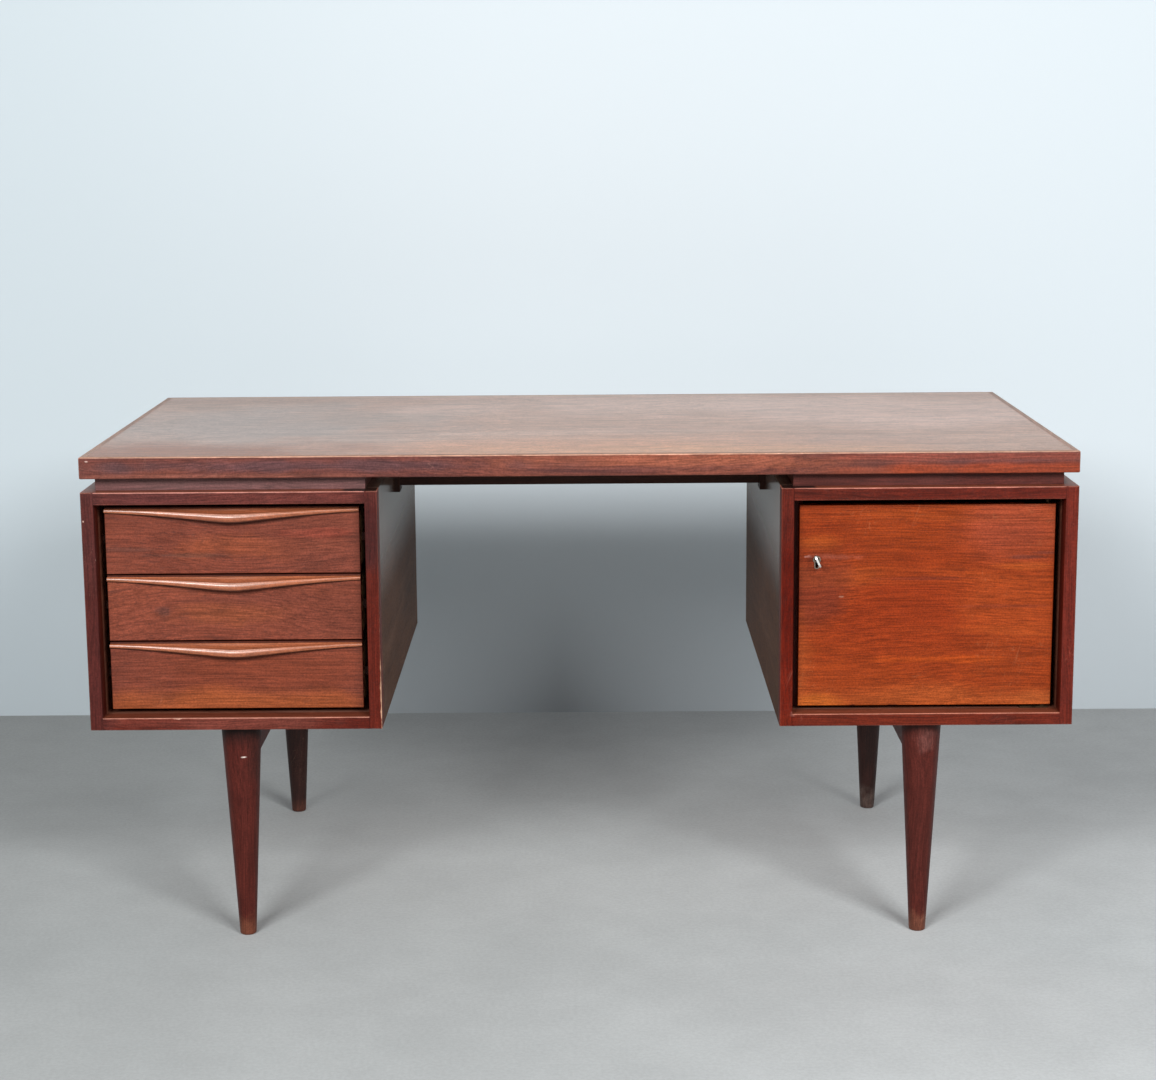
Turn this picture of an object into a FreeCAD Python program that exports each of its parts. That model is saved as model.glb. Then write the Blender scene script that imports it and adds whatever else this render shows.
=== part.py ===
import FreeCAD, Part
import math
import os
import sys

import Sketcher

# A writing desk: a long top on two pedestals, drawers in the left one, a cupboard in the right one.
# Origin on the floor under the middle of the desk, +X to the right, +Y to the back, +Z up, millimetres.

SIZES = {
    # overall
    "desk_wide": 1400,
    "desk_deep": 700,
    "desk_high": 715,
    "leg_high": 321,
    "top_thick": 31,
    "spacer_high": 19,
    "pedestal_wide": 416.5,
    "board_thick": 18,
    # solid edges of the top and of the pedestals' fronts
    "top_lipping_wide": 10,
    "top_edge_round": 2,
    "frame_lipping_deep": 28,
    "frame_edge_round": 1,
    # battens that lift the top off the pedestals
    "spacer_front_inset": 19,
    "spacer_side_inset": 18,
    "spacer_rear_inset": 40,
    "spacer_batten_wide": 45,
    # rail under the top, across the kneehole
    "cross_rail_inset": 294,
    "cross_rail_thick": 22,
    "cross_rail_high": 58,
    "rail_block_wide": 9,
    "rail_block_deep": 40,
    "rail_block_drop": 9,
    # back panels
    "back_thick": 8,
    "back_rebate": 8,
    # legs and the rails that join them
    "leg_inset": 46,
    "leg_top_wide": 58,
    "leg_foot_wide": 24,
    "leg_foot_round": 3,
    "leg_rail_thick": 40,
    "leg_rail_high": 54,
    "haunch_round": 24,
    "haunch_toe": 28.5,
    "toe_high": 22,
    "leg_shoulder": 18,
    "tenon_thick": 12,
    "tenon_long": 16,
    "tenon_margin": 10,
    # drawer fronts and their boxes
    "front_recess": 24,
    "drawer_front_thick": 18,
    "upper_front_high": 96,
    "middle_front_high": 94.5,
    "lower_front_high": 98,
    "drawer_side_gap": 10,
    "drawer_low_gap": 7.5,
    "drawer_gap": 2.5,
    "front_edge_round": 0.8,
    "drawer_rear_inset": 76,
    "drawer_side_thick": 12,
    "drawer_back_thick": 12,
    "drawer_side_lift": 8,
    "drawer_side_drop": 12,
    "drawer_bottom_thick": 5,
    "drawer_bottom_lift": 8,
    "bottom_groove_deep": 5,
    "tail_long": 12,
    "tail_root_high": 10.6,
    "tail_end_high": 15,
    # battens that the drawers run on
    "runner_high": 12,
    "runner_groove_deep": 6,
    "runner_clear": 0.3,
    "runner_groove_stop": 14,
    "runner_rear_inset": 60,
    # carved lip handles: how far out and down the ridge and the lip stand, at the ends and in the middle
    "handle_strip": 2,
    "handle_step": 0.8,
    "ridge_out_end": 3.4,
    "ridge_out_middle": 14.5,
    "ridge_drop_end": 1.4,
    "ridge_drop_middle": 7,
    "lip_drop_end": 5.6,
    "lip_drop_middle": 19.5,
    "lip_tuck_end": 0.4,
    "lip_tuck_middle": 2,
    "nose_out_end": 0.6,
    "nose_out_middle": 2.6,
    "cove_drop_end": 5,
    "cove_drop_middle": 9.5,
    "scoop_out_share": 0.4,
    "scoop_drop_share": 0.58,
    "hollow_out_share": 0.6,
    "hollow_drop_share": 0.2,
    # door
    "door_thick": 20,
    "door_lock_gap": 9.8,
    "door_hinge_gap": 9.2,
    "door_top_gap": 11,
    "door_low_gap": 5.8,
    # pivot hinges
    "pivot_inset": 10,
    "pivot_pin_wide": 6,
    "pivot_clear": 0.05,
    "pivot_pin_reach": 12,
    "pivot_bush_deep": 13,
    "pivot_bush_wide": 9,
    "pivot_plate_thick": 2.5,
    "pivot_plate_wide": 14,
    "pivot_plate_long": 40,
    "pivot_plate_overhang": 7,
    "pivot_collar_wide": 11,
    "pivot_collar_clear": 0.2,
    # lock batten, strike plate and lock
    "lock_batten_wide": 16,
    "lock_batten_deep": 20,
    "door_stop_clear": 0.3,
    "strike_thick": 1.2,
    "strike_high": 40,
    "strike_wide": 12,
    "strike_clear": 0.5,
    "strike_deep": 9,
    "case_clear": 1.5,
    "case_wide": 44,
    "case_high": 46,
    "case_deep": 13,
    "case_wall": 1.5,
    "bolt_clear": 0.2,
    "bolt_travel": 8,
    "bolt_head_thick": 6,
    "bolt_head_high": 18,
    "bolt_head_long": 7,
    "bolt_plate_thick": 2.5,
    "bolt_plate_high": 24,
    "bolt_plate_long": 41,
    "bolt_window_wide": 24,
    "bolt_window_high": 16,
    "bolt_window_inset": 9.2,
    # key and its keyhole, which a metal escutcheon lines
    "key_inset": 25,
    "key_drop": 78,
    "key_turned": 25,
    "key_shaft_wide": 5,
    "key_shaft_clear": 0.05,
    "key_slot_clear": 0.2,
    "key_bit_out": 7.6,
    "key_bit_thick": 2,
    "key_bit_long": 5,
    "key_tip_clear": 1,
    "key_collar_wide": 7.2,
    "key_collar_long": 2,
    "key_neck_long": 2,
    "key_bow_long": 16,
    "key_bow_wide": 22,
    "key_bow_thick": 2.6,
    "key_bow_band": 3.4,
    "keyhole_wide": 6,
    "keyhole_slot_wide": 4.2,
    "keyhole_drop": 12,
    "escutcheon_wide": 11,
    "escutcheon_slot_wide": 7.4,
    "escutcheon_drop": 13.5,
    "escutcheon_deep": 4,
    "escutcheon_proud": 0.8,
    "escutcheon_collar_clear": 0.2,
    # shelf
    "shelf_thick": 14,
    "shelf_side_clear": 1,
    "shelf_front_inset": 88,
    "shelf_rear_inset": 20,
    "shelf_top_lift": 158,
    "shelf_pin_wide": 6,
    "shelf_pin_long": 20,
    "shelf_pin_inset": 45,
    # screws
    "screw_wide": 5,
    "screw_head_wide": 9.5,
    "screw_head_high": 3.2,
    "top_screw_bite": 18,
    "top_screw_spacing": 350,
    "leg_screw_bite": 14,
    "leg_screw_counterbore_deep": 22,
    "leg_screw_counterbore_wide": 12,
    "leg_screw_spacing": 160,
    "block_screw_wide": 4,
    "block_screw_head_wide": 7.6,
    "block_screw_head_high": 2.6,
    "block_screw_bite": 13,
    "block_screw_spacing": 34,
}

TAILS = 3
DRAWERS = ("upper", "middle", "lower")
SIDES = ("left", "right")
HANDLE_SHARES = (-1, -0.85, -0.7, -0.55, -0.4, -0.26, -0.12, 0, 0.12, 0.26, 0.4, 0.55, 0.7, 0.85, 1)
SWELL_ROUND = 0.1
SWELL_POWER = 1.35

doc = FreeCAD.newDocument("desk")
sheet = doc.addObject("Spreadsheet::Sheet", "dim")
for row, (alias, number) in enumerate(SIZES.items(), start=1):
    sheet.set(f"A{row}", alias)
    sheet.set(f"B{row}", str(number))
    sheet.setAlias(f"B{row}", alias)
doc.recompute()

parts = {}


def value(expression):
    """The number that an expression over the sheet gives."""
    return float(sheet.evalExpression(expression))


def bind(thing, **expressions):
    """Ties properties of one object to expressions over the sheet."""
    for name, expression in expressions.items():
        thing.setExpression(name, expression)


def put(thing, x="0", y="0", z="0"):
    """Ties an object's place to expressions."""
    for axis, expression in (("x", x), ("y", y), ("z", z)):
        thing.setExpression(f"Placement.Base.{axis}", expression)


def keep(label, thing):
    """Names a finished sub-part, which is written to a file of that name."""
    thing.Label = label
    parts[label] = thing
    return thing


def box(name, low, size):
    """A block from its low corner and its lengths along X, Y and Z."""
    block = doc.addObject("Part::Box", name)
    bind(block, Length=size[0], Width=size[1], Height=size[2])
    put(block, *low)
    return block


AIMS = {
    "+x": FreeCAD.Rotation(FreeCAD.Vector(0, 1, 0), 90),
    "-x": FreeCAD.Rotation(FreeCAD.Vector(0, 1, 0), -90),
    "+y": FreeCAD.Rotation(FreeCAD.Vector(1, 0, 0), -90),
    "+z": FreeCAD.Rotation(),
    "-z": FreeCAD.Rotation(FreeCAD.Vector(1, 0, 0), 180),
}


def rod(name, start, aim, wide, long):
    """A round bar of one width, from its start along one direction."""
    bar = doc.addObject("Part::Cylinder", name)
    bar.Placement = FreeCAD.Placement(FreeCAD.Vector(), AIMS[aim])
    bind(bar, Radius=f"({wide}) / 2", Height=long)
    put(bar, *start)
    return bar


def taper(name, start, aim, wide, end_wide, long):
    """A round taper from one width to another."""
    bar = doc.addObject("Part::Cone", name)
    bar.Placement = FreeCAD.Placement(FreeCAD.Vector(), AIMS[aim])
    bind(bar, Radius1=f"({wide}) / 2", Radius2=f"({end_wide}) / 2", Height=long)
    put(bar, *start)
    return bar


def group(name, things):
    """Separate solids held as one object."""
    held = doc.addObject("Part::Compound", name)
    held.Links = things
    return held


def fuse(name, things):
    joined = doc.addObject("Part::MultiFuse", name)
    joined.Shapes = things
    return joined


def cut(name, base, tools):
    """The base with the tools' space taken out of it."""
    left = doc.addObject("Part::Cut", name)
    left.Base = base
    left.Tool = tools[0] if len(tools) == 1 else group(f"{name}_tools", tools)
    return left


def rounded_box(name, low, size, radius, chosen):
    """A block with rounded edges, which chosen picks by an edge's direction and its place as shares."""
    body = doc.addObject("PartDesign::Body", name)
    block = body.newObject("PartDesign::AdditiveBox", f"{name}_block")
    bind(block, Length=size[0], Width=size[1], Height=size[2])
    put(body, *low)
    doc.recompute()
    edges = []
    lengths = [value(expression) for expression in size]
    for number, edge in enumerate(block.Shape.Edges, start=1):
        first, last = edge.Vertexes[0].Point, edge.Vertexes[-1].Point
        axis = max(range(3), key=lambda k: abs(last[k] - first[k]))
        middle = (first + last) / 2
        share = [round(middle[k] / lengths[k]) if k != axis else None for k in range(3)]
        if chosen("xyz"[axis], share):
            edges.append(f"Edge{number}")
    fillet = body.newObject("PartDesign::Fillet", f"{name}_round")
    fillet.Base = (block, edges)
    fillet.setExpression("Radius", radius)
    return body


def outline(body, name, role, corners, arcs=None):
    """A closed sketch in one of a body's own planes. Corners are pairs of expressions. arcs maps the number
    of a side to its radius and centre as expressions: that side is an arc of less than half a turn."""
    sketch = body.newObject("Sketcher::SketchObject", name)
    plane = [feature for feature in body.Origin.OriginFeatures if feature.Role == role][0]
    sketch.AttachmentSupport = (plane, [""])
    sketch.MapMode = "FlatFace"
    arcs = arcs or {}
    points = [FreeCAD.Vector(value(x), value(y), 0) for x, y in corners]
    starts = []
    for number, start in enumerate(points):
        end = points[(number + 1) % len(points)]
        if number not in arcs:
            sketch.addGeometry(Part.LineSegment(start, end), False)
            starts.append((1, 2))
            continue
        radius, centre_x, centre_y = arcs[number]
        centre = FreeCAD.Vector(value(centre_x), value(centre_y), 0)
        first = math.atan2(start.y - centre.y, start.x - centre.x)
        last = math.atan2(end.y - centre.y, end.x - centre.x)
        turn = (last - first) % (2 * math.pi)
        circle = Part.Circle(centre, FreeCAD.Vector(0, 0, 1), value(radius))
        if turn < math.pi:
            sketch.addGeometry(Part.ArcOfCircle(circle, first, first + turn), False)
            starts.append((1, 2))
        else:
            sketch.addGeometry(Part.ArcOfCircle(circle, last, last + 2 * math.pi - turn), False)
            starts.append((2, 1))
    for number, (x, y) in enumerate(corners):
        before = (number - 1) % len(corners)
        sketch.addConstraint(
            Sketcher.Constraint("Coincident", before, starts[before][1], number, starts[number][0])
        )
        for kind, expression in (("DistanceX", x), ("DistanceY", y)):
            at = sketch.addConstraint(
                Sketcher.Constraint(kind, -1, 1, number, starts[number][0], value(expression))
            )
            sketch.setExpression(f"Constraints[{at}]", expression)
    for number, (radius, _, _) in arcs.items():
        at = sketch.addConstraint(Sketcher.Constraint("Radius", number, value(radius)))
        sketch.setExpression(f"Constraints[{at}]", radius)
    return sketch


def outward(side, near, far):
    """The low X of a span that lies from near to far of the middle plane, on the left or on the right."""
    return f"({near})" if side == "right" else f"-({far})"


def sideways(side, distance):
    """The X of something at a distance from the middle plane, on the left or on the right."""
    return f"({distance})" if side == "right" else f"-({distance})"


# Planes that many pieces share
half_wide = "dim.desk_wide / 2"
half_deep = "dim.desk_deep / 2"
front_y = "-dim.desk_deep / 2"
top_low_z = "dim.desk_high - dim.top_thick"
carcass_top_z = f"{top_low_z} - dim.spacer_high"
carcass_high = f"({carcass_top_z} - dim.leg_high)"
opening_low_z = "dim.leg_high + dim.board_thick"
opening_top_z = f"{carcass_top_z} - dim.board_thick"
opening_high = f"({carcass_high} - 2 * dim.board_thick)"
kneehole_half = f"({half_wide} - dim.pedestal_wide)"
opening_near = f"({kneehole_half} + dim.board_thick)"
opening_far = f"({half_wide} - dim.board_thick)"
opening_wide = f"({opening_far} - {opening_near})"
board_front_y = f"{front_y} + dim.frame_lipping_deep"
board_deep = f"({half_deep} - ({board_front_y}))"
fronts_y = f"{front_y} + dim.front_recess"


def screw(name, start, aim, wide, head_wide, head_high, long):
    """A countersunk wood screw: its head's face at the start, its point along the aim."""
    head = taper(f"{name}_head", start, aim, head_wide, wide, head_high)
    shank = rod(f"{name}_shank", start, aim, wide, long)
    return fuse(name, [head, shank])


def desktop_screws():
    """Screws from inside each pedestal, through its top board and the side battens, into the top."""
    screws = []
    near = f"{kneehole_half} + dim.spacer_side_inset + dim.spacer_batten_wide / 2"
    far = f"{half_wide} - dim.spacer_side_inset - dim.spacer_batten_wide / 2"
    long = "dim.board_thick + dim.spacer_high + dim.top_screw_bite"
    for side in SIDES:
        for row, distance in (("near", near), ("far", far)):
            for end, sign in (("front", "-"), ("rear", "+")):
                screws.append(
                    screw(
                        f"top_screw_{side}_{row}_{end}",
                        (sideways(side, distance), f"{sign}dim.top_screw_spacing / 2", opening_top_z),
                        "+z",
                        "dim.screw_wide",
                        "dim.screw_head_wide",
                        "dim.screw_head_high",
                        long,
                    )
                )
    return keep("desktop_screws", group("desktop_screws", screws))


def desktop(screws):
    """The top: a veneered panel between four solid lippings that meet in mitres."""
    inner_x = f"({half_wide} - dim.top_lipping_wide)"
    inner_y = f"({half_deep} - dim.top_lipping_wide)"
    panel = box(
        "desktop_core",
        (f"-{inner_x}", f"-{inner_y}", top_low_z),
        (f"2 * {inner_x}", f"2 * {inner_y}", "dim.top_thick"),
    )
    keep("desktop_panel", cut("desktop_panel", panel, [screws]))
    corners = (("-", "-"), ("", "-"), ("", ""), ("-", ""))
    outer = [(f"{x}{half_wide}", f"{y}{half_deep}") for x, y in corners]
    inner = [(f"{x}{inner_x}", f"{y}{inner_y}") for x, y in corners]
    for number, place in enumerate(("front", "right", "rear", "left")):
        after = (number + 1) % 4
        body = doc.addObject("PartDesign::Body", f"desktop_{place}_lipping")
        mitred = (outer[number], outer[after], inner[after], inner[number])
        sketch = outline(body, f"{place}_mitre", "XY_Plane", mitred)
        pad = body.newObject("PartDesign::Pad", f"{place}_lipping_pad")
        pad.Profile = sketch
        pad.setExpression("Length", "dim.top_thick")
        put(body, z=top_low_z)
        doc.recompute()
        reach = value(half_deep) if place in ("front", "rear") else value(half_wide)
        across = 1 if place in ("front", "rear") else 0
        edges = []
        for count, edge in enumerate(pad.Shape.Edges, start=1):
            ends = [vertex.Point for vertex in edge.Vertexes]
            level = abs(ends[0].z - ends[1].z) < 1e-6
            if level and all(abs(abs(point[across]) - reach) < 1e-6 for point in ends):
                edges.append(f"Edge{count}")
        fillet = body.newObject("PartDesign::Fillet", f"{place}_lipping_round")
        fillet.Base = (pad, edges)
        fillet.setExpression("Radius", "dim.top_edge_round")
        keep(f"desktop_{place}_lipping", body)


def spacers(side, screws):
    """Four battens on a pedestal's top board, which carry the desktop and leave a shadow line round it."""
    near = f"({kneehole_half} + dim.spacer_side_inset)"
    far = f"({half_wide} - dim.spacer_side_inset)"
    wide = f"({far} - {near})"
    low_y = f"({front_y} + dim.spacer_front_inset)"
    high_y = f"({half_deep} - dim.spacer_rear_inset)"
    x = outward(side, near, far)
    size = (wide, "dim.spacer_batten_wide", "dim.spacer_high")
    battens = [
        box(f"{side}_{row}_batten", (x, y, carcass_top_z), size)
        for row, y in (("front", low_y), ("rear", f"{high_y} - dim.spacer_batten_wide"))
    ]
    between = f"({high_y} - {low_y} - 2 * dim.spacer_batten_wide)"
    for row, start in (("near", near), ("far", f"({far} - dim.spacer_batten_wide)")):
        battens.append(
            box(
                f"{side}_{row}_batten",
                (
                    outward(side, start, f"{start} + dim.spacer_batten_wide"),
                    f"{low_y} + dim.spacer_batten_wide",
                    carcass_top_z,
                ),
                ("dim.spacer_batten_wide", between, "dim.spacer_high"),
            )
        )
    keep(f"{side}_spacer_battens", cut(f"{side}_spacers", group(f"{side}_battens", battens), [screws]))


def cross_rail():
    """The rail under the top across the kneehole, with a screwed block at each end."""
    reach = f"({kneehole_half} - dim.rail_block_wide)"
    rail = rounded_box(
        "kneehole_rail",
        (f"-{reach}", f"{front_y} + dim.cross_rail_inset", f"{top_low_z} - dim.cross_rail_high"),
        (f"2 * {reach}", "dim.cross_rail_thick", "dim.cross_rail_high"),
        "dim.frame_edge_round",
        lambda axis, share: axis == "x" and share[2] == 0,
    )
    keep("kneehole_rail", rail)
    middle_y = f"({front_y} + dim.cross_rail_inset + dim.cross_rail_thick / 2)"
    high = "(dim.cross_rail_high + dim.rail_block_drop)"
    blocks, screws = [], []
    for side in SIDES:
        x = outward(side, reach, kneehole_half)
        low = (x, f"{middle_y} - dim.rail_block_deep / 2", f"{top_low_z} - {high}")
        blocks.append(box(f"{side}_rail_block", low, ("dim.rail_block_wide", "dim.rail_block_deep", high)))
        for row, sign in (("upper", "+"), ("lower", "-")):
            screws.append(
                screw(
                    f"block_screw_{side}_{row}",
                    (
                        sideways(side, reach),
                        f"{middle_y} + (dim.cross_rail_thick + dim.rail_block_deep) / 4",
                        f"{top_low_z} - {high} / 2 {sign} dim.block_screw_spacing / 2 - dim.spacer_high / 2",
                    ),
                    "+x" if side == "right" else "-x",
                    "dim.block_screw_wide",
                    "dim.block_screw_head_wide",
                    "dim.block_screw_head_high",
                    "dim.rail_block_wide + dim.block_screw_bite",
                )
            )
    held = keep("rail_block_screws", group("rail_block_screws", screws))
    keep("kneehole_rail_blocks", cut("kneehole_rail_blocks", group("rail_blocks", blocks), [held]))
    return held


def leg_screws():
    """Screws from below, sunk in counterbores in the leg rails, into the pedestals' bottom boards."""
    screws = []
    start_z = "dim.leg_high - dim.leg_rail_high + dim.leg_screw_counterbore_deep"
    long = "dim.leg_rail_high - dim.leg_screw_counterbore_deep + dim.leg_screw_bite"
    for side in SIDES:
        for row in (-1, 0, 1):
            screws.append(
                screw(
                    f"leg_screw_{side}_{row + 2}",
                    (sideways(side, leg_x), f"{row} * dim.leg_screw_spacing", start_z),
                    "+z",
                    "dim.screw_wide",
                    "dim.screw_head_wide",
                    "dim.screw_head_high",
                    long,
                )
            )
    return keep("leg_rail_screws", group("leg_rail_screws", screws))


leg_x = f"({kneehole_half} + dim.pedestal_wide / 2)"
leg_y = f"({half_deep} - dim.leg_inset)"


def leg_rail(side, screws):
    """A rail along the pedestal's underside, tenoned, with a haunch at each end that comes down the leg."""
    body = doc.addObject("PartDesign::Body", f"{side}_leg_rail_body")
    low = "dim.leg_high - dim.leg_rail_high"
    toe_top = f"{low} - dim.haunch_round"
    toe_low = f"{toe_top} - dim.toe_high"
    end = f"({leg_y} - dim.leg_shoulder)"
    toe = f"({leg_y} - dim.haunch_toe)"
    arch = f"({leg_y} - dim.haunch_toe - dim.haunch_round)"
    corners = (
        (f"-{end}", "dim.leg_high"),
        (f"-{end}", toe_low),
        (f"-{toe}", toe_low),
        (f"-{toe}", toe_top),
        (f"-{arch}", low),
        (arch, low),
        (toe, toe_top),
        (toe, toe_low),
        (end, toe_low),
        (end, "dim.leg_high"),
    )
    arcs = {
        3: ("dim.haunch_round", f"-{arch}", toe_top),
        5: ("dim.haunch_round", arch, toe_top),
    }
    sketch = outline(body, f"{side}_rail_outline", "YZ_Plane", corners, arcs)
    pad = body.newObject("PartDesign::Pad", f"{side}_rail_pad")
    pad.Profile = sketch
    pad.Midplane = True
    pad.setExpression("Length", "dim.leg_rail_thick")
    put(body, x=sideways(side, leg_x))
    tenons = box(
        f"{side}_rail_tenons",
        (
            f"{sideways(side, leg_x)} - dim.tenon_thick / 2",
            f"-({end} + dim.tenon_long)",
            f"{toe_low} + dim.tenon_margin",
        ),
        (
            "dim.tenon_thick",
            f"2 * ({end} + dim.tenon_long)",
            f"dim.leg_high - ({toe_low}) - 2 * dim.tenon_margin",
        ),
    )
    tenon_clear = box(
        f"{side}_rail_arch_space",
        (f"{sideways(side, leg_x)} - dim.tenon_thick / 2", f"-{end}", f"{toe_low} + dim.tenon_margin"),
        ("dim.tenon_thick", f"2 * {end}", f"dim.leg_high - ({toe_low}) - 2 * dim.tenon_margin"),
    )
    ends = cut(f"{side}_rail_tenon_ends", tenons, [tenon_clear])
    sinks = []
    for row in (-1, 0, 1):
        sinks.append(
            rod(
                f"{side}_rail_sink_{row + 2}",
                (sideways(side, leg_x), f"{row} * dim.leg_screw_spacing", low),
                "+z",
                "dim.leg_screw_counterbore_wide",
                "dim.leg_screw_counterbore_deep",
            )
        )
    whole = fuse(f"{side}_leg_rail_whole", [body, ends])
    return keep(f"{side}_leg_rail", cut(f"{side}_leg_rail_cut", whole, [screws] + sinks))


def leg(side, end, rail):
    """A turned leg, tapered to a rounded foot, cut flat and mortised where its rail meets it."""
    name = f"{end}_{side}_leg"
    body = doc.addObject("PartDesign::Body", f"{name}_turned")
    corners = (
        ("0", "0"),
        ("dim.leg_foot_wide / 2 - dim.leg_foot_round", "0"),
        ("dim.leg_foot_wide / 2", "dim.leg_foot_round"),
        ("dim.leg_top_wide / 2", "dim.leg_high"),
        ("0", "dim.leg_high"),
    )
    arcs = {1: ("dim.leg_foot_round", "dim.leg_foot_wide / 2 - dim.leg_foot_round", "dim.leg_foot_round")}
    sketch = outline(body, f"{name}_outline", "XZ_Plane", corners, arcs)
    turned = body.newObject("PartDesign::Revolution", f"{name}_revolution")
    turned.Profile = sketch
    turned.ReferenceAxis = (sketch, ["V_Axis"])
    turned.Angle = 360
    put(body, x=sideways(side, leg_x), y=f"-{leg_y}" if end == "front" else leg_y)
    keep(name, cut(name, body, [rail]))


def pedestal(side, screws, block_screws, leg_fixings, shelf_pins):
    """An open-fronted box: full-height sides, boards between them, a back and solid front edges."""
    rebate = box(
        f"{side}_back_rebate",
        (
            outward(side, f"{opening_near} - dim.back_rebate", f"{opening_far} + dim.back_rebate"),
            f"{half_deep} - dim.back_thick",
            f"{opening_low_z} - dim.back_rebate",
        ),
        (f"{opening_wide} + 2 * dim.back_rebate", "dim.back_thick", f"{opening_high} + 2 * dim.back_rebate"),
    )
    keep(f"{side}_back_panel", rebate)
    uprights = {
        "inner": (kneehole_half, opening_near),
        "outer": (opening_far, half_wide),
    }
    lippings = []
    for row, (near, far) in uprights.items():
        x = outward(side, near, far)
        size = ("dim.board_thick", board_deep, carcass_high)
        board = box(f"{side}_{row}_board", (x, board_front_y, "dim.leg_high"), size)
        tools = [rebate]
        if row == "inner":
            tools.append(block_screws)
        if side == "right":
            tools.append(shelf_pins)
        keep(f"{side}_{row}_side", cut(f"{side}_{row}_side", board, tools))
        lippings.append(
            rounded_box(
                f"{side}_{row}_edge",
                (x, front_y, "dim.leg_high"),
                ("dim.board_thick", "dim.frame_lipping_deep", carcass_high),
                "dim.frame_edge_round",
                lambda axis, share: share[1] == 0,
            )
        )
    levels = {
        "bottom": ("dim.leg_high", leg_fixings),
        "top": (opening_top_z, screws),
    }
    x = outward(side, opening_near, opening_far)
    for row, (low_z, fixings) in levels.items():
        size = (opening_wide, board_deep, "dim.board_thick")
        board = box(f"{side}_{row}_core", (x, board_front_y, low_z), size)
        keep(f"{side}_{row}_board", cut(f"{side}_{row}_panel", board, [rebate, fixings]))
        lippings.append(
            rounded_box(
                f"{side}_{row}_edge",
                (x, front_y, low_z),
                (opening_wide, "dim.frame_lipping_deep", "dim.board_thick"),
                "dim.frame_edge_round",
                lambda axis, share: axis == "x" and share[1] == 0,
            )
        )
    keep(f"{side}_front_lippings", group(f"{side}_lippings", lippings))


# The drawers, in the left pedestal
drawer_low_x = f"(-{opening_far} + dim.drawer_side_gap)"
drawer_wide = f"({opening_wide} - 2 * dim.drawer_side_gap)"
front_back_y = f"({fronts_y} + dim.drawer_front_thick)"
drawer_rear_y = f"({half_deep} - dim.drawer_rear_inset)"


def drawer_low_z(name):
    """The underside of a drawer's front, over the fronts of the drawers below it."""
    below = DRAWERS[DRAWERS.index(name) + 1 :]
    rise = "".join(f" + dim.{lower}_front_high + dim.drawer_gap" for lower in below)
    return f"({opening_low_z} + dim.drawer_low_gap{rise})"


def drawer_side_high(name):
    return f"(dim.{name}_front_high - dim.drawer_side_lift - dim.drawer_side_drop)"


def runner_low_z(name):
    middle = f"({drawer_low_z(name)} + dim.drawer_side_lift + {drawer_side_high(name)} / 2)"
    return f"({middle} - dim.runner_high / 2)"


def runners():
    """Battens on the pedestal's sides: each drawer hangs on two, and their front ends stop it."""
    battens = []
    out = "(dim.drawer_side_gap + dim.runner_groove_deep - dim.runner_clear)"
    start_y = f"({front_back_y} + dim.runner_groove_stop + dim.runner_clear)"
    long = f"({half_deep} - dim.runner_rear_inset - {start_y})"
    for name in DRAWERS:
        for row, x in (("outer", f"-{opening_far}"), ("inner", f"-{opening_near} - {out}")):
            low = (x, start_y, runner_low_z(name))
            battens.append(box(f"{name}_{row}_runner", low, (out, long, "dim.runner_high")))
    keep("drawer_runners", group("drawer_runners", battens))


def dovetails(name, row, x, low_z):
    """Tails on the front end of a drawer side, wider towards the drawer's front."""
    tails = []
    step = f"({drawer_side_high(name)} / {TAILS})"
    for number in range(TAILS):
        tail = doc.addObject("Part::Wedge", f"{name}_{row}_tail_{number + 1}")
        bind(
            tail,
            Xmin="0",
            X2min="0",
            Xmax="dim.drawer_side_thick",
            X2max="dim.drawer_side_thick",
            Ymin="0",
            Ymax="dim.tail_long",
            Zmin="-dim.tail_end_high / 2",
            Zmax="dim.tail_end_high / 2",
            Z2min="-dim.tail_root_high / 2",
            Z2max="dim.tail_root_high / 2",
        )
        put(tail, x, f"{front_back_y} - dim.tail_long", f"{low_z} + {number} * {step} + {step} / 2")
        tails.append(tail)
    return tails


def handle_section(share):
    """One section of a lip handle, as a closed wire. share runs from -1 at one end to 1 at the other, out is
    towards the front of the desk, down is measured from the top edge, and the handle swells from its ends
    to a rounded peak in the middle."""
    rise = math.hypot(share, SWELL_ROUND) - SWELL_ROUND
    swell = (1 - rise / (math.hypot(1, SWELL_ROUND) - SWELL_ROUND)) ** SWELL_POWER

    def between(name):
        end, middle = value(f"dim.{name}_end"), value(f"dim.{name}_middle")
        return end + (middle - end) * swell

    ridge_out, ridge_drop = between("ridge_out"), between("ridge_drop")
    lip_out, lip_drop = ridge_out - between("lip_tuck"), between("lip_drop")
    cove_drop, step = between("cove_drop"), value("dim.handle_step")
    x = value(f"{drawer_wide} / 2") * share

    def at(out, down):
        return FreeCAD.Vector(x, -out, -down)

    top, crest, lip, cove = at(step, 0), at(ridge_out, ridge_drop), at(lip_out, lip_drop), at(0, cove_drop)
    scoop_out, scoop_drop = value("dim.scoop_out_share"), value("dim.scoop_drop_share")
    hollow_out, hollow_drop = value("dim.hollow_out_share"), value("dim.hollow_drop_share")
    scoop = at(step + (ridge_out - step) * scoop_out, ridge_drop * scoop_drop)
    nose = at(ridge_out + between("nose_out"), (ridge_drop + lip_drop) / 2)
    hollow = at(lip_out * hollow_out, cove_drop + (lip_drop - cove_drop) * hollow_drop)
    return Part.Wire(
        [
            Part.LineSegment(at(0, 0), top).toShape(),
            Part.Arc(top, scoop, crest).toShape(),
            Part.Arc(crest, nose, lip).toShape(),
            Part.Arc(lip, hollow, cove).toShape(),
            Part.LineSegment(cove, at(0, 0)).toShape(),
        ]
    )


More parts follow.
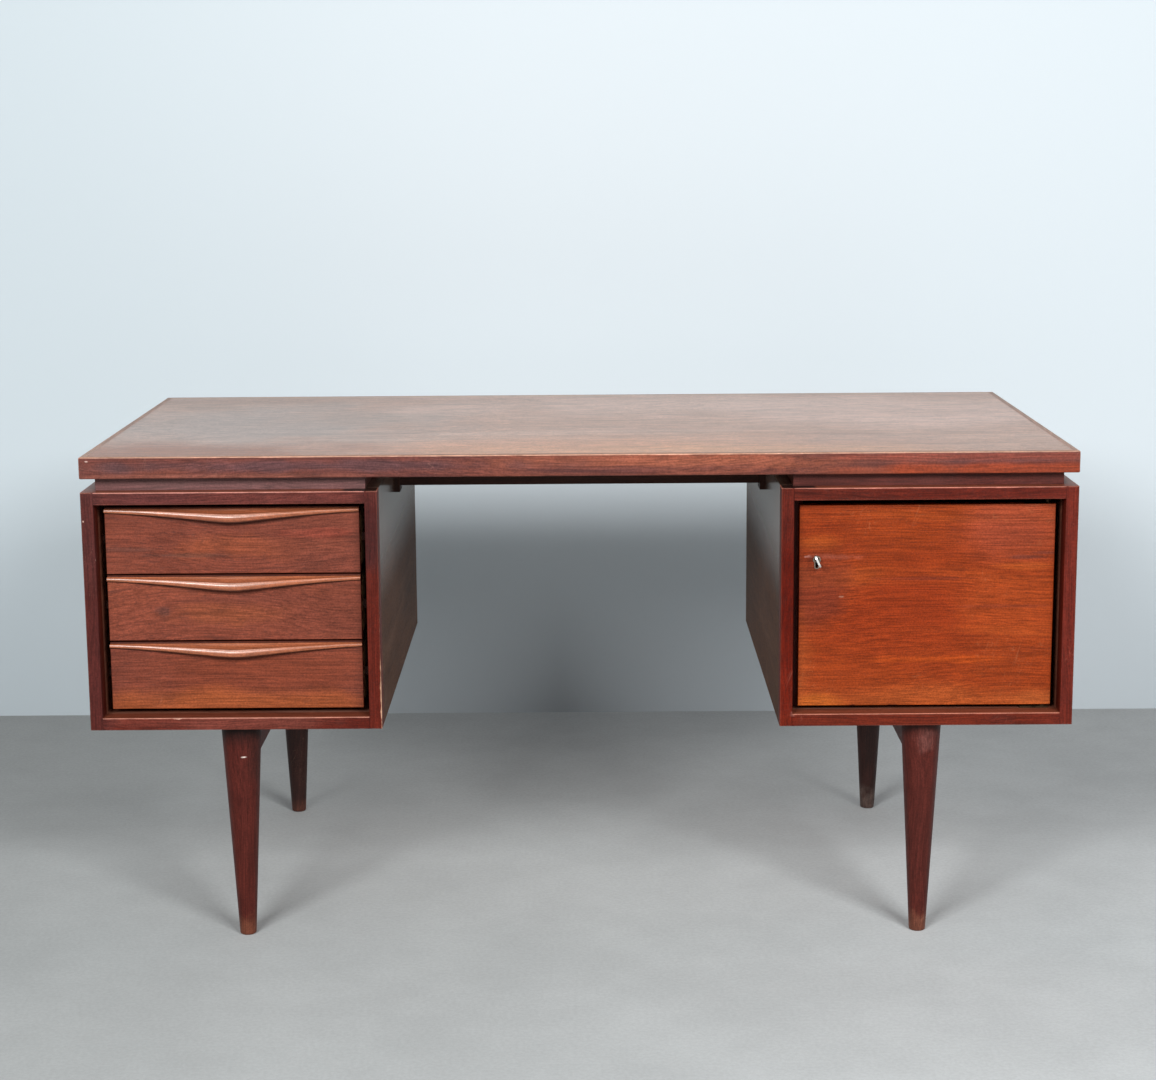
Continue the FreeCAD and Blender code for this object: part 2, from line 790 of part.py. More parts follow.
def drawer(name):
    """A dovetailed box: front, two grooved sides, a back and a bottom, and the carved handle."""
    low_z = drawer_low_z(name)
    front_high = f"dim.{name}_front_high"
    side_high = drawer_side_high(name)
    side_low = f"({low_z} + dim.drawer_side_lift)"
    bottom_low = f"({side_low} + dim.drawer_bottom_lift)"
    inner_low_x = f"({drawer_low_x} + dim.drawer_side_thick)"
    inner_wide = f"({drawer_wide} - 2 * dim.drawer_side_thick)"
    bottom = box(
        f"{name}_bottom_sheet",
        (f"{inner_low_x} - dim.bottom_groove_deep", f"{front_back_y} - dim.bottom_groove_deep", bottom_low),
        (
            f"{inner_wide} + 2 * dim.bottom_groove_deep",
            f"{drawer_rear_y} - {front_back_y} + dim.bottom_groove_deep",
            "dim.drawer_bottom_thick",
        ),
    )
    keep(f"{name}_drawer_bottom", bottom)
    tails = []
    rows = {
        "left": (drawer_low_x, drawer_low_x),
        "right": (
            f"({inner_low_x} + {inner_wide})",
            f"({drawer_low_x} + {drawer_wide} - dim.runner_groove_deep)",
        ),
    }
    for row, (x, groove_x) in rows.items():
        side_tails = dovetails(name, row, x, side_low)
        tails += side_tails
        board = box(
            f"{name}_{row}_blank",
            (x, front_back_y, side_low),
            ("dim.drawer_side_thick", f"{drawer_rear_y} - {front_back_y}", side_high),
        )
        groove_y = f"{front_back_y} + dim.runner_groove_stop"
        groove = box(
            f"{name}_{row}_groove",
            (groove_x, groove_y, f"{runner_low_z(name)} - dim.runner_clear"),
            (
                "dim.runner_groove_deep",
                f"{drawer_rear_y} - {front_back_y}",
                "dim.runner_high + 2 * dim.runner_clear",
            ),
        )
        whole = fuse(f"{name}_{row}_tailed", [board] + side_tails)
        keep(f"{name}_drawer_{row}_side", cut(f"{name}_{row}_side", whole, [groove, bottom]))
    back_low = f"({bottom_low} + dim.drawer_bottom_thick)"
    back = box(
        f"{name}_back_board",
        (inner_low_x, f"{drawer_rear_y} - dim.drawer_back_thick", back_low),
        (inner_wide, "dim.drawer_back_thick", f"{side_low} + {side_high} - {back_low}"),
    )
    keep(f"{name}_drawer_back", back)
    front = rounded_box(
        f"{name}_front_board",
        (drawer_low_x, fronts_y, low_z),
        (drawer_wide, "dim.drawer_front_thick", front_high),
        "dim.front_edge_round",
        lambda axis, share: share[1] == 0,
    )
    keep(f"{name}_drawer_front", cut(f"{name}_front_cut", front, tails + [bottom]))
    lip = doc.addObject("Part::Feature", f"{name}_lip")
    lip.Shape = Part.makeLoft([handle_section(share) for share in HANDLE_SHARES], True, False)
    put(lip, f"{drawer_low_x} + {drawer_wide} / 2", fronts_y, f"{low_z} + {front_high} - dim.handle_strip")
    keep(f"{name}_drawer_handle", lip)


# The door, in the right pedestal
door_low_x = f"({opening_near} + dim.door_lock_gap)"
door_wide = f"({opening_wide} - dim.door_lock_gap - dim.door_hinge_gap)"
door_low_z = f"({opening_low_z} + dim.door_low_gap)"
door_high = f"({opening_high} - dim.door_low_gap - dim.door_top_gap)"
door_back_y = f"({fronts_y} + dim.door_thick)"
pivot_x = f"({door_low_x} + {door_wide} - dim.pivot_inset)"
pivot_y = f"({fronts_y} + dim.door_thick / 2)"
key_x = f"({door_low_x} + dim.key_inset)"
key_z = f"({door_low_z} + {door_high} - dim.key_drop)"


def pivots():
    """Pivot hinges at two corners of the door: a pin on a plate, and a bushed plate in the door."""
    plate_x = f"({pivot_x} + dim.pivot_plate_overhang - dim.pivot_plate_long)"
    plate_y = f"({pivot_y} - dim.pivot_plate_wide / 2)"
    plate = ("dim.pivot_plate_long", "dim.pivot_plate_wide", "dim.pivot_plate_thick")
    door_top = f"({door_low_z} + {door_high})"
    pins, blanks, bores = [], [], []
    ends = {
        "lower": (
            opening_low_z,
            f"({opening_low_z} + dim.pivot_plate_thick)",
            "+z",
            door_low_z,
            door_low_z,
            "dim.door_low_gap - dim.pivot_plate_thick",
            "dim.pivot_collar_clear",
        ),
        "upper": (
            f"({opening_top_z} - dim.pivot_plate_thick)",
            f"({opening_top_z} - dim.pivot_plate_thick)",
            "-z",
            f"({door_top} - dim.pivot_plate_thick)",
            door_top,
            "dim.door_top_gap - dim.pivot_plate_thick",
            "dim.door_top_gap / 2",
        ),
    }
    for end, (plate_z, pin_z, aim, sunk_z, face_z, gap, short) in ends.items():
        base = box(f"{end}_pivot_base", (plate_x, plate_y, plate_z), plate)
        start = (pivot_x, pivot_y, pin_z)
        pin = rod(f"{end}_pivot_rod", start, aim, "dim.pivot_pin_wide", f"{gap} + dim.pivot_pin_reach")
        collar = rod(f"{end}_pivot_collar", start, aim, "dim.pivot_collar_wide", f"{gap} - {short}")
        pins.append(fuse(f"{end}_pivot_pin", [base, pin, collar]))
        sunk = box(f"{end}_pivot_sunk", (plate_x, plate_y, sunk_z), plate)
        face = (pivot_x, pivot_y, face_z)
        bush = rod(f"{end}_pivot_bush", face, aim, "dim.pivot_bush_wide", "dim.pivot_bush_deep")
        blanks.append(fuse(f"{end}_pivot_blank", [sunk, bush]))
        bore_wide = "dim.pivot_pin_wide + 2 * dim.pivot_clear"
        bores.append(rod(f"{end}_pivot_bore", face, aim, bore_wide, "dim.pivot_bush_deep"))
    keep("door_pivot_pins", group("door_pivot_pins", pins))
    blank = group("door_pivot_blanks", blanks)
    keep("door_pivot_plates", cut("door_pivot_plates", blank, bores))
    return blank


def keyhole(name, front, deep, wide, slot_wide, drop):
    """The solid shape of a keyhole: a round bar over a slot, whose round end is a drop below the axis."""
    round_bar = rod(f"{name}_round", (key_x, front, key_z), "+y", wide, deep)
    end_z = f"({key_z} - {drop} + ({slot_wide}) / 2)"
    slot_end = rod(f"{name}_end", (key_x, front, end_z), "+y", slot_wide, deep)
    low = (f"{key_x} - ({slot_wide}) / 2", front, end_z)
    slot = box(f"{name}_slot", low, (slot_wide, deep, f"{key_z} - {end_z}"))
    return fuse(name, [round_bar, slot_end, slot])


def lock():
    """The lock on the door's back, its bolt, the batten that the bolt enters, the key and its escutcheon."""
    axis_y = f"({door_back_y} + dim.case_deep / 2)"
    batten_x = opening_near
    batten_face_x = f"({opening_near} + dim.lock_batten_wide)"
    batten_y = f"({door_back_y} + dim.door_stop_clear)"
    case_x = f"({batten_face_x} + dim.case_clear)"
    case_low_z = f"({key_z} - dim.case_high / 2)"
    bolt_x = f"({case_x} + dim.bolt_clear)"

    strike_low_z = f"({key_z} - dim.strike_high / 2)"
    strike_y = f"({axis_y} - dim.strike_wide / 2)"
    slot_size = (
        "dim.strike_deep",
        "dim.bolt_head_thick + 2 * dim.strike_clear",
        "dim.bolt_head_high + 2 * dim.strike_clear",
    )
    slot = box(
        "strike_slot",
        (
            f"{batten_face_x} - dim.strike_deep",
            f"{axis_y} - dim.bolt_head_thick / 2 - dim.strike_clear",
            f"{key_z} - dim.bolt_head_high / 2 - dim.strike_clear",
        ),
        slot_size,
    )
    plate = box(
        "strike_blank",
        (f"{batten_face_x} - dim.strike_thick", strike_y, strike_low_z),
        ("dim.strike_thick", "dim.strike_wide", "dim.strike_high"),
    )
    batten = rounded_box(
        "lock_batten_blank",
        (batten_x, batten_y, opening_low_z),
        ("dim.lock_batten_wide", "dim.lock_batten_deep", opening_high),
        "dim.frame_edge_round",
        lambda axis, share: axis == "z" and share[0] == 1,
    )
    keep("lock_batten", cut("lock_batten", batten, [plate, slot]))
    keep("strike_plate", cut("strike_plate", plate, [slot]))

    case_size = ("dim.case_wide", "dim.case_deep", "dim.case_high")
    case = box("case_block", (case_x, door_back_y, case_low_z), case_size)
    hollow = box(
        "case_hollow",
        (f"{case_x} + dim.case_wall", f"{door_back_y} + dim.case_wall", f"{case_low_z} + dim.case_wall"),
        (
            "dim.case_wide - 2 * dim.case_wall",
            "dim.case_deep - 2 * dim.case_wall",
            "dim.case_high - 2 * dim.case_wall",
        ),
    )
    mouth = box(
        "case_mouth",
        (
            case_x,
            f"{axis_y} - dim.bolt_head_thick / 2 - dim.bolt_clear",
            f"{key_z} - dim.bolt_head_high / 2 - dim.bolt_clear",
        ),
        (
            "dim.case_wall",
            "dim.bolt_head_thick + 2 * dim.bolt_clear",
            "dim.bolt_head_high + 2 * dim.bolt_clear",
        ),
    )
    key_way = keyhole(
        "case_keyhole",
        door_back_y,
        "dim.case_wall",
        "dim.key_shaft_wide + 2 * dim.key_shaft_clear",
        "dim.key_bit_thick + 2 * dim.key_slot_clear",
        "(dim.key_bit_out + 2 * dim.key_slot_clear)",
    )
    keep("lock_case", cut("lock_case", case, [hollow, mouth, key_way]))

    head = box(
        "bolt_head",
        (bolt_x, f"{axis_y} - dim.bolt_head_thick / 2", f"{key_z} - dim.bolt_head_high / 2"),
        ("dim.bolt_head_long", "dim.bolt_head_thick", "dim.bolt_head_high"),
    )
    tail = box(
        "bolt_tail",
        (
            f"{bolt_x} + dim.case_wall",
            f"{axis_y} - dim.bolt_plate_thick / 2",
            f"{key_z} - dim.bolt_plate_high / 2",
        ),
        ("dim.bolt_plate_long - dim.case_wall", "dim.bolt_plate_thick", "dim.bolt_plate_high"),
    )
    window = box(
        "bolt_window",
        (
            f"{bolt_x} + dim.bolt_window_inset",
            f"{axis_y} - dim.bolt_plate_thick",
            f"{key_z} - dim.bolt_window_high / 2",
        ),
        ("dim.bolt_window_wide", "2 * dim.bolt_plate_thick", "dim.bolt_window_high"),
    )
    shoulders = [
        box(
            f"bolt_{row}_shoulder",
            (f"{bolt_x} + dim.case_wall", f"{axis_y} - dim.bolt_plate_thick / 2", low_z),
            ("dim.bolt_travel", "dim.bolt_plate_thick", "(dim.bolt_plate_high - dim.bolt_head_high) / 2"),
        )
        for row, low_z in (
            ("upper", f"{key_z} + dim.bolt_head_high / 2"),
            ("lower", f"{key_z} - dim.bolt_plate_high / 2"),
        )
    ]
    keep("lock_bolt", fuse("bolt_whole", [head, cut("bolt_tail_cut", tail, [window] + shoulders)]))

    proud_y = f"({fronts_y} - dim.escutcheon_proud)"
    rim = keyhole(
        "escutcheon_blank",
        proud_y,
        "dim.escutcheon_deep",
        "dim.escutcheon_wide",
        "dim.escutcheon_slot_wide",
        "dim.escutcheon_drop",
    )
    hole = keyhole(
        "door_keyhole",
        proud_y,
        "dim.door_thick + dim.escutcheon_proud",
        "dim.keyhole_wide",
        "dim.keyhole_slot_wide",
        "dim.keyhole_drop",
    )
    keep("keyhole_escutcheon", cut("keyhole_escutcheon", rim, [hole]))

    tip = "(dim.door_thick + dim.case_deep - dim.case_wall - dim.key_tip_clear)"
    collar_y = "-(dim.escutcheon_proud + dim.escutcheon_collar_clear + dim.key_collar_long)"
    bow_y = f"({collar_y} - dim.key_neck_long - dim.key_bow_long)"
    shaft_y = f"({bow_y} + dim.key_bow_long - dim.key_bow_band / 2)"
    shaft = rod("key_shaft", ("0", shaft_y, "0"), "+y", "dim.key_shaft_wide", f"{tip} - {shaft_y}")
    collar = rod("key_collar", ("0", collar_y, "0"), "+y", "dim.key_collar_wide", "dim.key_collar_long")
    bit = box(
        "key_bit",
        ("-dim.key_bit_thick / 2", f"{tip} - dim.key_bit_long", "-dim.key_bit_out"),
        ("dim.key_bit_thick", "dim.key_bit_long", "dim.key_bit_out"),
    )

    def oval(name, inset, thick):
        """A plate with round ends, standing up across the key's axis."""
        long = f"(dim.key_bow_long - 2 * ({inset}))"
        reach = f"(dim.key_bow_wide / 2 - dim.key_bow_long / 2)"
        middle = box(
            f"{name}_middle",
            (f"-({thick}) / 2", f"{bow_y} + {inset}", f"-{reach}"),
            (thick, long, f"2 * {reach}"),
        )
        rounds = []
        for row, sign in (("high", ""), ("low", "-")):
            start = (f"-({thick}) / 2", f"{bow_y} + dim.key_bow_long / 2", f"{sign}{reach}")
            rounds.append(rod(f"{name}_{row}", start, "+x", long, thick))
        return fuse(name, [middle] + rounds)

    eye = oval("bow_eye", "dim.key_bow_band", "2 * dim.key_bow_thick")
    bow = cut("key_bow", oval("bow_plate", "0", "dim.key_bow_thick"), [eye])
    key = fuse("key_whole", [shaft, collar, bit, bow])
    key.Placement = FreeCAD.Placement(FreeCAD.Vector(), FreeCAD.Rotation(FreeCAD.Vector(0, -1, 0), 0))
    key.setExpression("Placement.Rotation.Angle", "dim.key_turned")
    put(key, key_x, fronts_y, key_z)
    keep("key", key)
    return [rim, hole]


def door(holes, pivot_blank):
    """The door: one thick veneered panel with eased edges."""
    panel = rounded_box(
        "door_board",
        (door_low_x, fronts_y, door_low_z),
        (door_wide, "dim.door_thick", door_high),
        "dim.front_edge_round",
        lambda axis, share: share[1] == 0,
    )
    keep("door_panel", cut("door_panel", panel, holes + [pivot_blank]))


def shelf():
    """A loose shelf in the cupboard, on four pins in the sides."""
    low_z = f"({opening_low_z} + dim.shelf_top_lift - dim.shelf_thick)"
    low_y = f"({front_y} + dim.shelf_front_inset)"
    deep = f"({half_deep} - dim.shelf_rear_inset - {low_y})"
    keep(
        "cupboard_shelf",
        box(
            "shelf_board",
            (f"{opening_near} + dim.shelf_side_clear", low_y, low_z),
            (f"{opening_wide} - 2 * dim.shelf_side_clear", deep, "dim.shelf_thick"),
        ),
    )
    pins = []
    half_pin = "dim.shelf_pin_long / 2"
    ends = {
        "front": f"{low_y} + dim.shelf_pin_inset",
        "rear": f"{low_y} + {deep} - dim.shelf_pin_inset",
    }
    for row, x in (("near", f"{opening_near} - {half_pin}"), ("far", f"{opening_far} - {half_pin}")):
        for end, y in ends.items():
            start = (x, y, f"{low_z} - dim.shelf_pin_wide / 2")
            name = f"shelf_pin_{row}_{end}"
            pins.append(rod(name, start, "+x", "dim.shelf_pin_wide", "dim.shelf_pin_long"))
    return keep("shelf_pins", group("shelf_pins", pins))


def build():
    """Makes every sub-part of the desk."""
    top_fixings = desktop_screws()
    leg_fixings = leg_screws()
    desktop(top_fixings)
    block_fixings = cross_rail()
    pins = shelf()
    for side in SIDES:
        spacers(side, top_fixings)
        pedestal(side, top_fixings, block_fixings, leg_fixings, pins)
        rail = leg_rail(side, leg_fixings)
        for end in ("front", "rear"):
            leg(side, end, rail)
    runners()
    for name in DRAWERS:
        drawer(name)
    pivot_blank = pivots()
    door(lock(), pivot_blank)


def check():
    """Stops before anything is written if an object failed or a sub-part's shape is not sound."""
    doc.recompute()
    failed = [thing.Name for thing in doc.Objects if {"Invalid", "Error"} & set(thing.State)]
    unsound = [label for label, thing in parts.items() if thing.Shape.isNull() or not thing.Shape.isValid()]
    hollow = [label for label, thing in parts.items() if not thing.Shape.Solids]
    if failed or unsound or hollow:
        sys.exit(f"failed objects {failed}, unsound shapes {unsound}, no solid {hollow}")


build()
check()
os.makedirs("parts", exist_ok=True)
for label, thing in parts.items():
    thing.Shape.exportStep(f"parts/{label}.step")
print(f"{len(parts)} sub-parts, {sum(len(thing.Shape.Solids) for thing in parts.values())} solids")
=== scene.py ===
import math

import bmesh
import bpy
from mathutils import Matrix, Vector


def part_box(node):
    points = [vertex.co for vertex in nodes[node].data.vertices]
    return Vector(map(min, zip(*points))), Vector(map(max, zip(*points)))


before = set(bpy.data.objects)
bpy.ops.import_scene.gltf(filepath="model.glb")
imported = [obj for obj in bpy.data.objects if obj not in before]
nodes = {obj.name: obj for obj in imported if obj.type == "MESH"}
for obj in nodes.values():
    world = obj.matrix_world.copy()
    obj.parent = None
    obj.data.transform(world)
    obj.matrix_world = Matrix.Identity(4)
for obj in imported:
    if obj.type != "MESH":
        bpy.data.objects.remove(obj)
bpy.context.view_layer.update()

# Camera: the photograph's viewpoint, for a frame of 1156 by 1080
cameraSettings = {
    "place": (0.01215, -3.52444, 1.17683),
    "lens": 71.51,
    "sensorWidth": 36,
    "seesTo": 60,  # metres
    "turnRight": -0.257,  # degrees
    "tiltUp": -10.419,
    "roll": -0.433,
}


def makeCamera(settings):
    data = bpy.data.cameras.new("camera")
    data.lens = settings["lens"]
    data.sensor_width = settings["sensorWidth"]
    data.clip_end = settings["seesTo"]
    camera = bpy.data.objects.new("camera", data)
    bpy.context.scene.collection.objects.link(camera)
    turn = Matrix.Rotation(math.radians(-settings["turnRight"]), 4, "Z")
    tilt = Matrix.Rotation(math.radians(90 + settings["tiltUp"]), 4, "X")
    roll = Matrix.Rotation(math.radians(settings["roll"]), 4, "Z")
    camera.matrix_world = Matrix.Translation(settings["place"]) @ turn @ tilt @ roll
    bpy.context.scene.camera = camera


makeCamera(cameraSettings)
print("camera set")


# Small helpers for node trees

def addNode(tree, kind, **settings):
    node = tree.nodes.new(kind)
    for name, setting in settings.items():
        setattr(node, name, setting)
    return node


def plug(tree, target, source):  # source is an output socket or a value
    if isinstance(source, bpy.types.NodeSocket):
        tree.links.new(source, target)
    else:
        target.default_value = source


def plugAll(tree, targets, sources):
    for target, source in zip(targets, sources):
        plug(tree, target, source)


def calc(tree, operation, *sources, clamp=False):
    node = addNode(tree, "ShaderNodeMath", operation=operation, use_clamp=clamp)
    plugAll(tree, node.inputs, sources)
    return node.outputs[0]


def product(tree, first, *others):
    for other in others:
        first = calc(tree, "MULTIPLY", first, other)
    return first


def apart(tree, first, second):  # the distance between two numbers
    return calc(tree, "ABSOLUTE", calc(tree, "SUBTRACT", first, second))


def vectorCalc(tree, operation, *sources):
    node = addNode(tree, "ShaderNodeVectorMath", operation=operation)
    plugAll(tree, node.inputs, sources)
    return node.outputs["Value" if operation in ("LENGTH", "DOT_PRODUCT") else "Vector"]


def splitVector(tree, vector):  # gives X, Y and Z
    node = addNode(tree, "ShaderNodeSeparateXYZ")
    plug(tree, node.inputs[0], vector)
    return node.outputs


def joinVector(tree, x, y, z):
    node = addNode(tree, "ShaderNodeCombineXYZ")
    plugAll(tree, node.inputs, (x, y, z))
    return node.outputs[0]


def turned(tree, vector, angles):
    node = addNode(tree, "ShaderNodeMapping")
    plug(tree, node.inputs["Vector"], vector)
    node.inputs["Rotation"].default_value = angles
    return node.outputs[0]


def objectPlace(tree):
    return addNode(tree, "ShaderNodeTexCoord").outputs["Object"]


def surfaceNormal(tree, kind="Normal"):
    return addNode(tree, "ShaderNodeNewGeometry").outputs[kind]


def roundedNormal(tree, radius):  # as if the edges had this radius
    node = addNode(tree, "ShaderNodeBevel", samples=6)
    plug(tree, node.inputs["Radius"], radius)
    return node.outputs["Normal"]


# often is how many times the pattern repeats along X, Y and Z
def noise(tree, vector, scale=1.0, detail=2.0, rough=0.5, often=None):
    if often:
        vector = vectorCalc(tree, "MULTIPLY", vector, often)
    node = addNode(tree, "ShaderNodeTexNoise")
    names = ("Vector", "Scale", "Detail", "Roughness")
    plugAll(tree, [node.inputs[name] for name in names], (vector, scale, detail, rough))
    return node.outputs["Fac"]


# Maps low..high smoothly onto newLow..newHigh
def spread(tree, source, low, high, newLow=0.0, newHigh=1.0):
    node = addNode(tree, "ShaderNodeMapRange", interpolation_type="SMOOTHSTEP")
    names = ("Value", "From Min", "From Max", "To Min", "To Max")
    plugAll(tree, [node.inputs[name] for name in names], (source, low, high, newLow, newHigh))
    return node.outputs["Result"]


# A noise spread from its lower to its upper limit
def pattern(tree, vector, limits, tones=(0.0, 1.0), **settings):
    return spread(tree, noise(tree, vector, **settings), *limits, *tones)


def mixColour(tree, share, first, second, blend="MIX"):
    node = addNode(tree, "ShaderNodeMix", data_type="RGBA", blend_type=blend)
    plugAll(tree, (node.inputs[0], node.inputs[6], node.inputs[7]), (share, first, second))
    return node.outputs[2]


def shaded(tree, colour, tone):  # the colour times a grey
    node = addNode(tree, "ShaderNodeCombineColor")
    plugAll(tree, list(node.inputs)[:3], (tone, tone, tone))
    return mixColour(tree, 1.0, colour, node.outputs[0], blend="MULTIPLY")


def opaque(colour):
    return (*colour, 1.0)


def newGroup(name, inputs, outputs):
    tree = bpy.data.node_groups.new(name, "ShaderNodeTree")
    for label, kind, value in inputs:
        socket = tree.interface.new_socket(name=label, in_out="INPUT", socket_type=f"NodeSocket{kind}")
        if value is not None:
            socket.default_value = value
    for label, kind in outputs:
        tree.interface.new_socket(name=label, in_out="OUTPUT", socket_type=f"NodeSocket{kind}")
    return tree, tree.nodes.new("NodeGroupInput").outputs, tree.nodes.new("NodeGroupOutput").inputs


def useGroup(tree, group, **sources):  # named by the group's inputs, without their spaces
    node = addNode(tree, "ShaderNodeGroup", node_tree=groups[group])
    for socket in node.inputs:
        key = socket.name.replace(" ", "")
        if key in sources:
            plug(tree, socket, sources[key])
    return node.outputs


# Node groups that the finishes share

# Teak figure. limits: where in its noise a part begins and where it is full
grainFigure = {
    "bands": {"often": (0.7, 9, 9), "detail": 3, "limits": (0.34, 0.68)},
    "rings": {"often": (0.5, 3.8, 3.8), "detail": 1.5, "rough": 0.4},
    "ringLimits": (0.1, 1.0),
    "ringCount": 190,
    "ringShare": 0.3,
    "pale": {"often": (1.1, 17, 17), "detail": 3, "limits": (0.52, 0.74)},
    "paleShare": 0.7,
    "streaks": {"often": (2.2, 85, 85), "detail": 3.5, "rough": 0.62, "limits": (0.55, 0.74)},
    "flecks": {"often": (16, 330, 330), "detail": 2, "rough": 0.6, "limits": (0.56, 0.70)},
    "fleckShare": 0.5,
    "pores": {"often": (60, 1500, 1500), "detail": 1, "limits": (0.42, 0.31)},
    "fibres": {"often": (9, 520, 520), "detail": 2.5, "rough": 0.65},
    "fibreLimits": (0.3, 0.7),
    "fibreTones": (0.70, 1.30),
    "fibreHeight": 0.5,
    "mottle": {"scale": 420, "detail": 3, "rough": 0.8, "limits": (0.32, 0.68), "tones": (0.78, 1.22)},
    "clouds": {"scale": 26, "detail": 3, "rough": 0.6, "limits": (0.3, 0.7), "tones": (0.93, 1.07)},
    "sway": {"scale": 2.3, "detail": 1},
    "swayReach": 0.06,  # metres
    "shade": 0.6,  # how much the streaks and pores darken the tone
    "seedStep": (3.17, 1.73, 2.41),  # how far one more on the seed moves the figure
}


# The grain runs along X
def makeGrainGroup(figure):
    inputs = [
        ("Vector", "Vector", None),
        ("Seed", "Float", 0.0),
        ("Base", "Color", (0.3, 0.1, 0.05, 1)),
        ("Dark", "Color", (0.2, 0.06, 0.03, 1)),
        ("Light", "Color", (0.4, 0.15, 0.08, 1)),
        ("Streak", "Color", (0.08, 0.02, 0.015, 1)),
        ("Figure", "Float", 1.0),
        ("Streak Amount", "Float", 0.5),
        ("Pore Amount", "Float", 0.5),
    ]
    outputs = [("Color", "Color"), ("Height", "Float"), ("Fibre", "Float"), ("Tone", "Float")]
    tree, given, out = newGroup("teakGrain", inputs, outputs)
    shift = vectorCalc(tree, "SCALE", figure["seedStep"])
    plug(tree, shift.node.inputs["Scale"], given["Seed"])
    place = vectorCalc(tree, "ADD", given["Vector"], shift)
    sway = calc(tree, "SUBTRACT", noise(tree, place, **figure["sway"]), 0.5)
    sway = product(tree, sway, figure["swayReach"])
    swayed = vectorCalc(tree, "ADD", place, joinVector(tree, 0.0, sway, sway))
    bands = product(tree, pattern(tree, swayed, **figure["bands"]), given["Figure"])
    rings = product(tree, noise(tree, swayed, **figure["rings"]), figure["ringCount"])
    rings = spread(tree, calc(tree, "SINE", rings), *figure["ringLimits"])
    rings = product(tree, rings, product(tree, given["Figure"], figure["ringShare"]))
    pale = product(tree, pattern(tree, swayed, **figure["pale"]), figure["paleShare"])
    streaks = product(tree, pattern(tree, swayed, **figure["streaks"]), given["Streak Amount"])
    flecks = product(tree, pattern(tree, swayed, **figure["flecks"]), given["Pore Amount"])
    pores = product(tree, pattern(tree, swayed, **figure["pores"]), given["Pore Amount"])
    fibres = noise(tree, swayed, **figure["fibres"])
    colour = mixColour(tree, bands, given["Base"], given["Dark"])
    colour = mixColour(tree, rings, colour, given["Dark"])
    colour = mixColour(tree, pale, colour, given["Light"])
    colour = mixColour(tree, streaks, colour, given["Streak"])
    mottle = pattern(tree, place, **figure["mottle"])
    clouds = pattern(tree, place, **figure["clouds"])
    thread = spread(tree, fibres, *figure["fibreLimits"], *figure["fibreTones"])
    tone = product(tree, mottle, clouds, thread)
    dark = calc(tree, "MAXIMUM", product(tree, flecks, figure["fleckShare"]), pores)
    shade = product(tree, calc(tree, "MAXIMUM", dark, streaks), figure["shade"])
    plug(tree, out["Color"], mixColour(tree, dark, shaded(tree, colour, tone), given["Streak"]))
    plug(tree, out["Height"], calc(tree, "SUBTRACT", product(tree, fibres, figure["fibreHeight"]), pores))
    plug(tree, out["Fibre"], fibres)
    plug(tree, out["Tone"], product(tree, tone, calc(tree, "SUBTRACT", 1.0, shade)))
    return tree


# A soft blot round a centre, full within a quarter of its reach, with a ragged border
def makePatchGroup():
    inputs = [
        ("Vector", "Vector", None),
        ("Centre", "Vector", (0, 0, 0)),
        ("Reach", "Vector", (0.1, 0.1, 0.1)),
        ("Ragged", "Float", 0.4),
        ("Grit", "Float", 20.0),
    ]
    tree, given, out = newGroup("patch", inputs, [("Mask", "Float")])
    offset = vectorCalc(tree, "SUBTRACT", given["Vector"], given["Centre"])
    far = vectorCalc(tree, "LENGTH", vectorCalc(tree, "DIVIDE", offset, given["Reach"]))
    wobble = calc(tree, "SUBTRACT", noise(tree, given["Vector"], scale=given["Grit"], detail=4), 0.5)
    far = calc(tree, "ADD", far, product(tree, wobble, given["Ragged"], 2.0))
    plug(tree, out["Mask"], spread(tree, far, 1.0, 0.25))
    return tree


# A mask on sharp edges, broken up where the hand doesn't rub: bare worn wood, and painted highlight that is
# full on edges that look up
edgeWearAndHighlight = {
    "sharp": (0.99, 0.90),  # how alike the flat and the rounded normal are: none, full
    # painted highlight: edges that look up get the full mask, other edges the lower share
    "upward": (0.05, 0.35),
    "specks": {"detail": 5, "rough": 0.7},
    "barest": 0.72,  # in the specks, where an uncovered edge begins to show
    "perCover": 0.6,
    "softness": 0.16,
}


def makeEdgeGroup(wear):
    inputs = [
        ("Vector", "Vector", None),
        ("Width", "Float", 0.0015),
        ("Grit", "Float", 30.0),
        ("Cover", "Float", 0.5),
        ("Lower Share", "Float", 0.35),
    ]
    tree, given, out = newGroup("edgeWearAndHighlight", inputs, [("Mask", "Float")])
    rounded = roundedNormal(tree, given["Width"])
    likeness = vectorCalc(tree, "DOT_PRODUCT", rounded, surfaceNormal(tree, "True Normal"))
    upward = spread(tree, splitVector(tree, rounded)["Z"], *wear["upward"], given["Lower Share"], 1.0)
    edge = product(tree, spread(tree, likeness, *wear["sharp"]), upward)
    specks = noise(tree, given["Vector"], scale=given["Grit"], **wear["specks"])
    low = calc(tree, "SUBTRACT", wear["barest"], product(tree, given["Cover"], wear["perCover"]))
    broken = spread(tree, specks, low, calc(tree, "ADD", low, wear["softness"]))
    plug(tree, out["Mask"], calc(tree, "MULTIPLY", edge, broken, clamp=True))
    return tree


# Fine dust: more on faces that look up, in soft clouds with specks
dustLook = {
    "upward": (0.2, 0.95),
    "elsewhere": 0.25,  # the share on faces that don't look up
    "clouds": {"scale": 5, "detail": 5, "rough": 0.6, "limits": (0.38, 0.7)},
    "specks": {"scale": 900, "detail": 1, "limits": (0.62, 0.72)},
    "speckShare": 0.5,
}


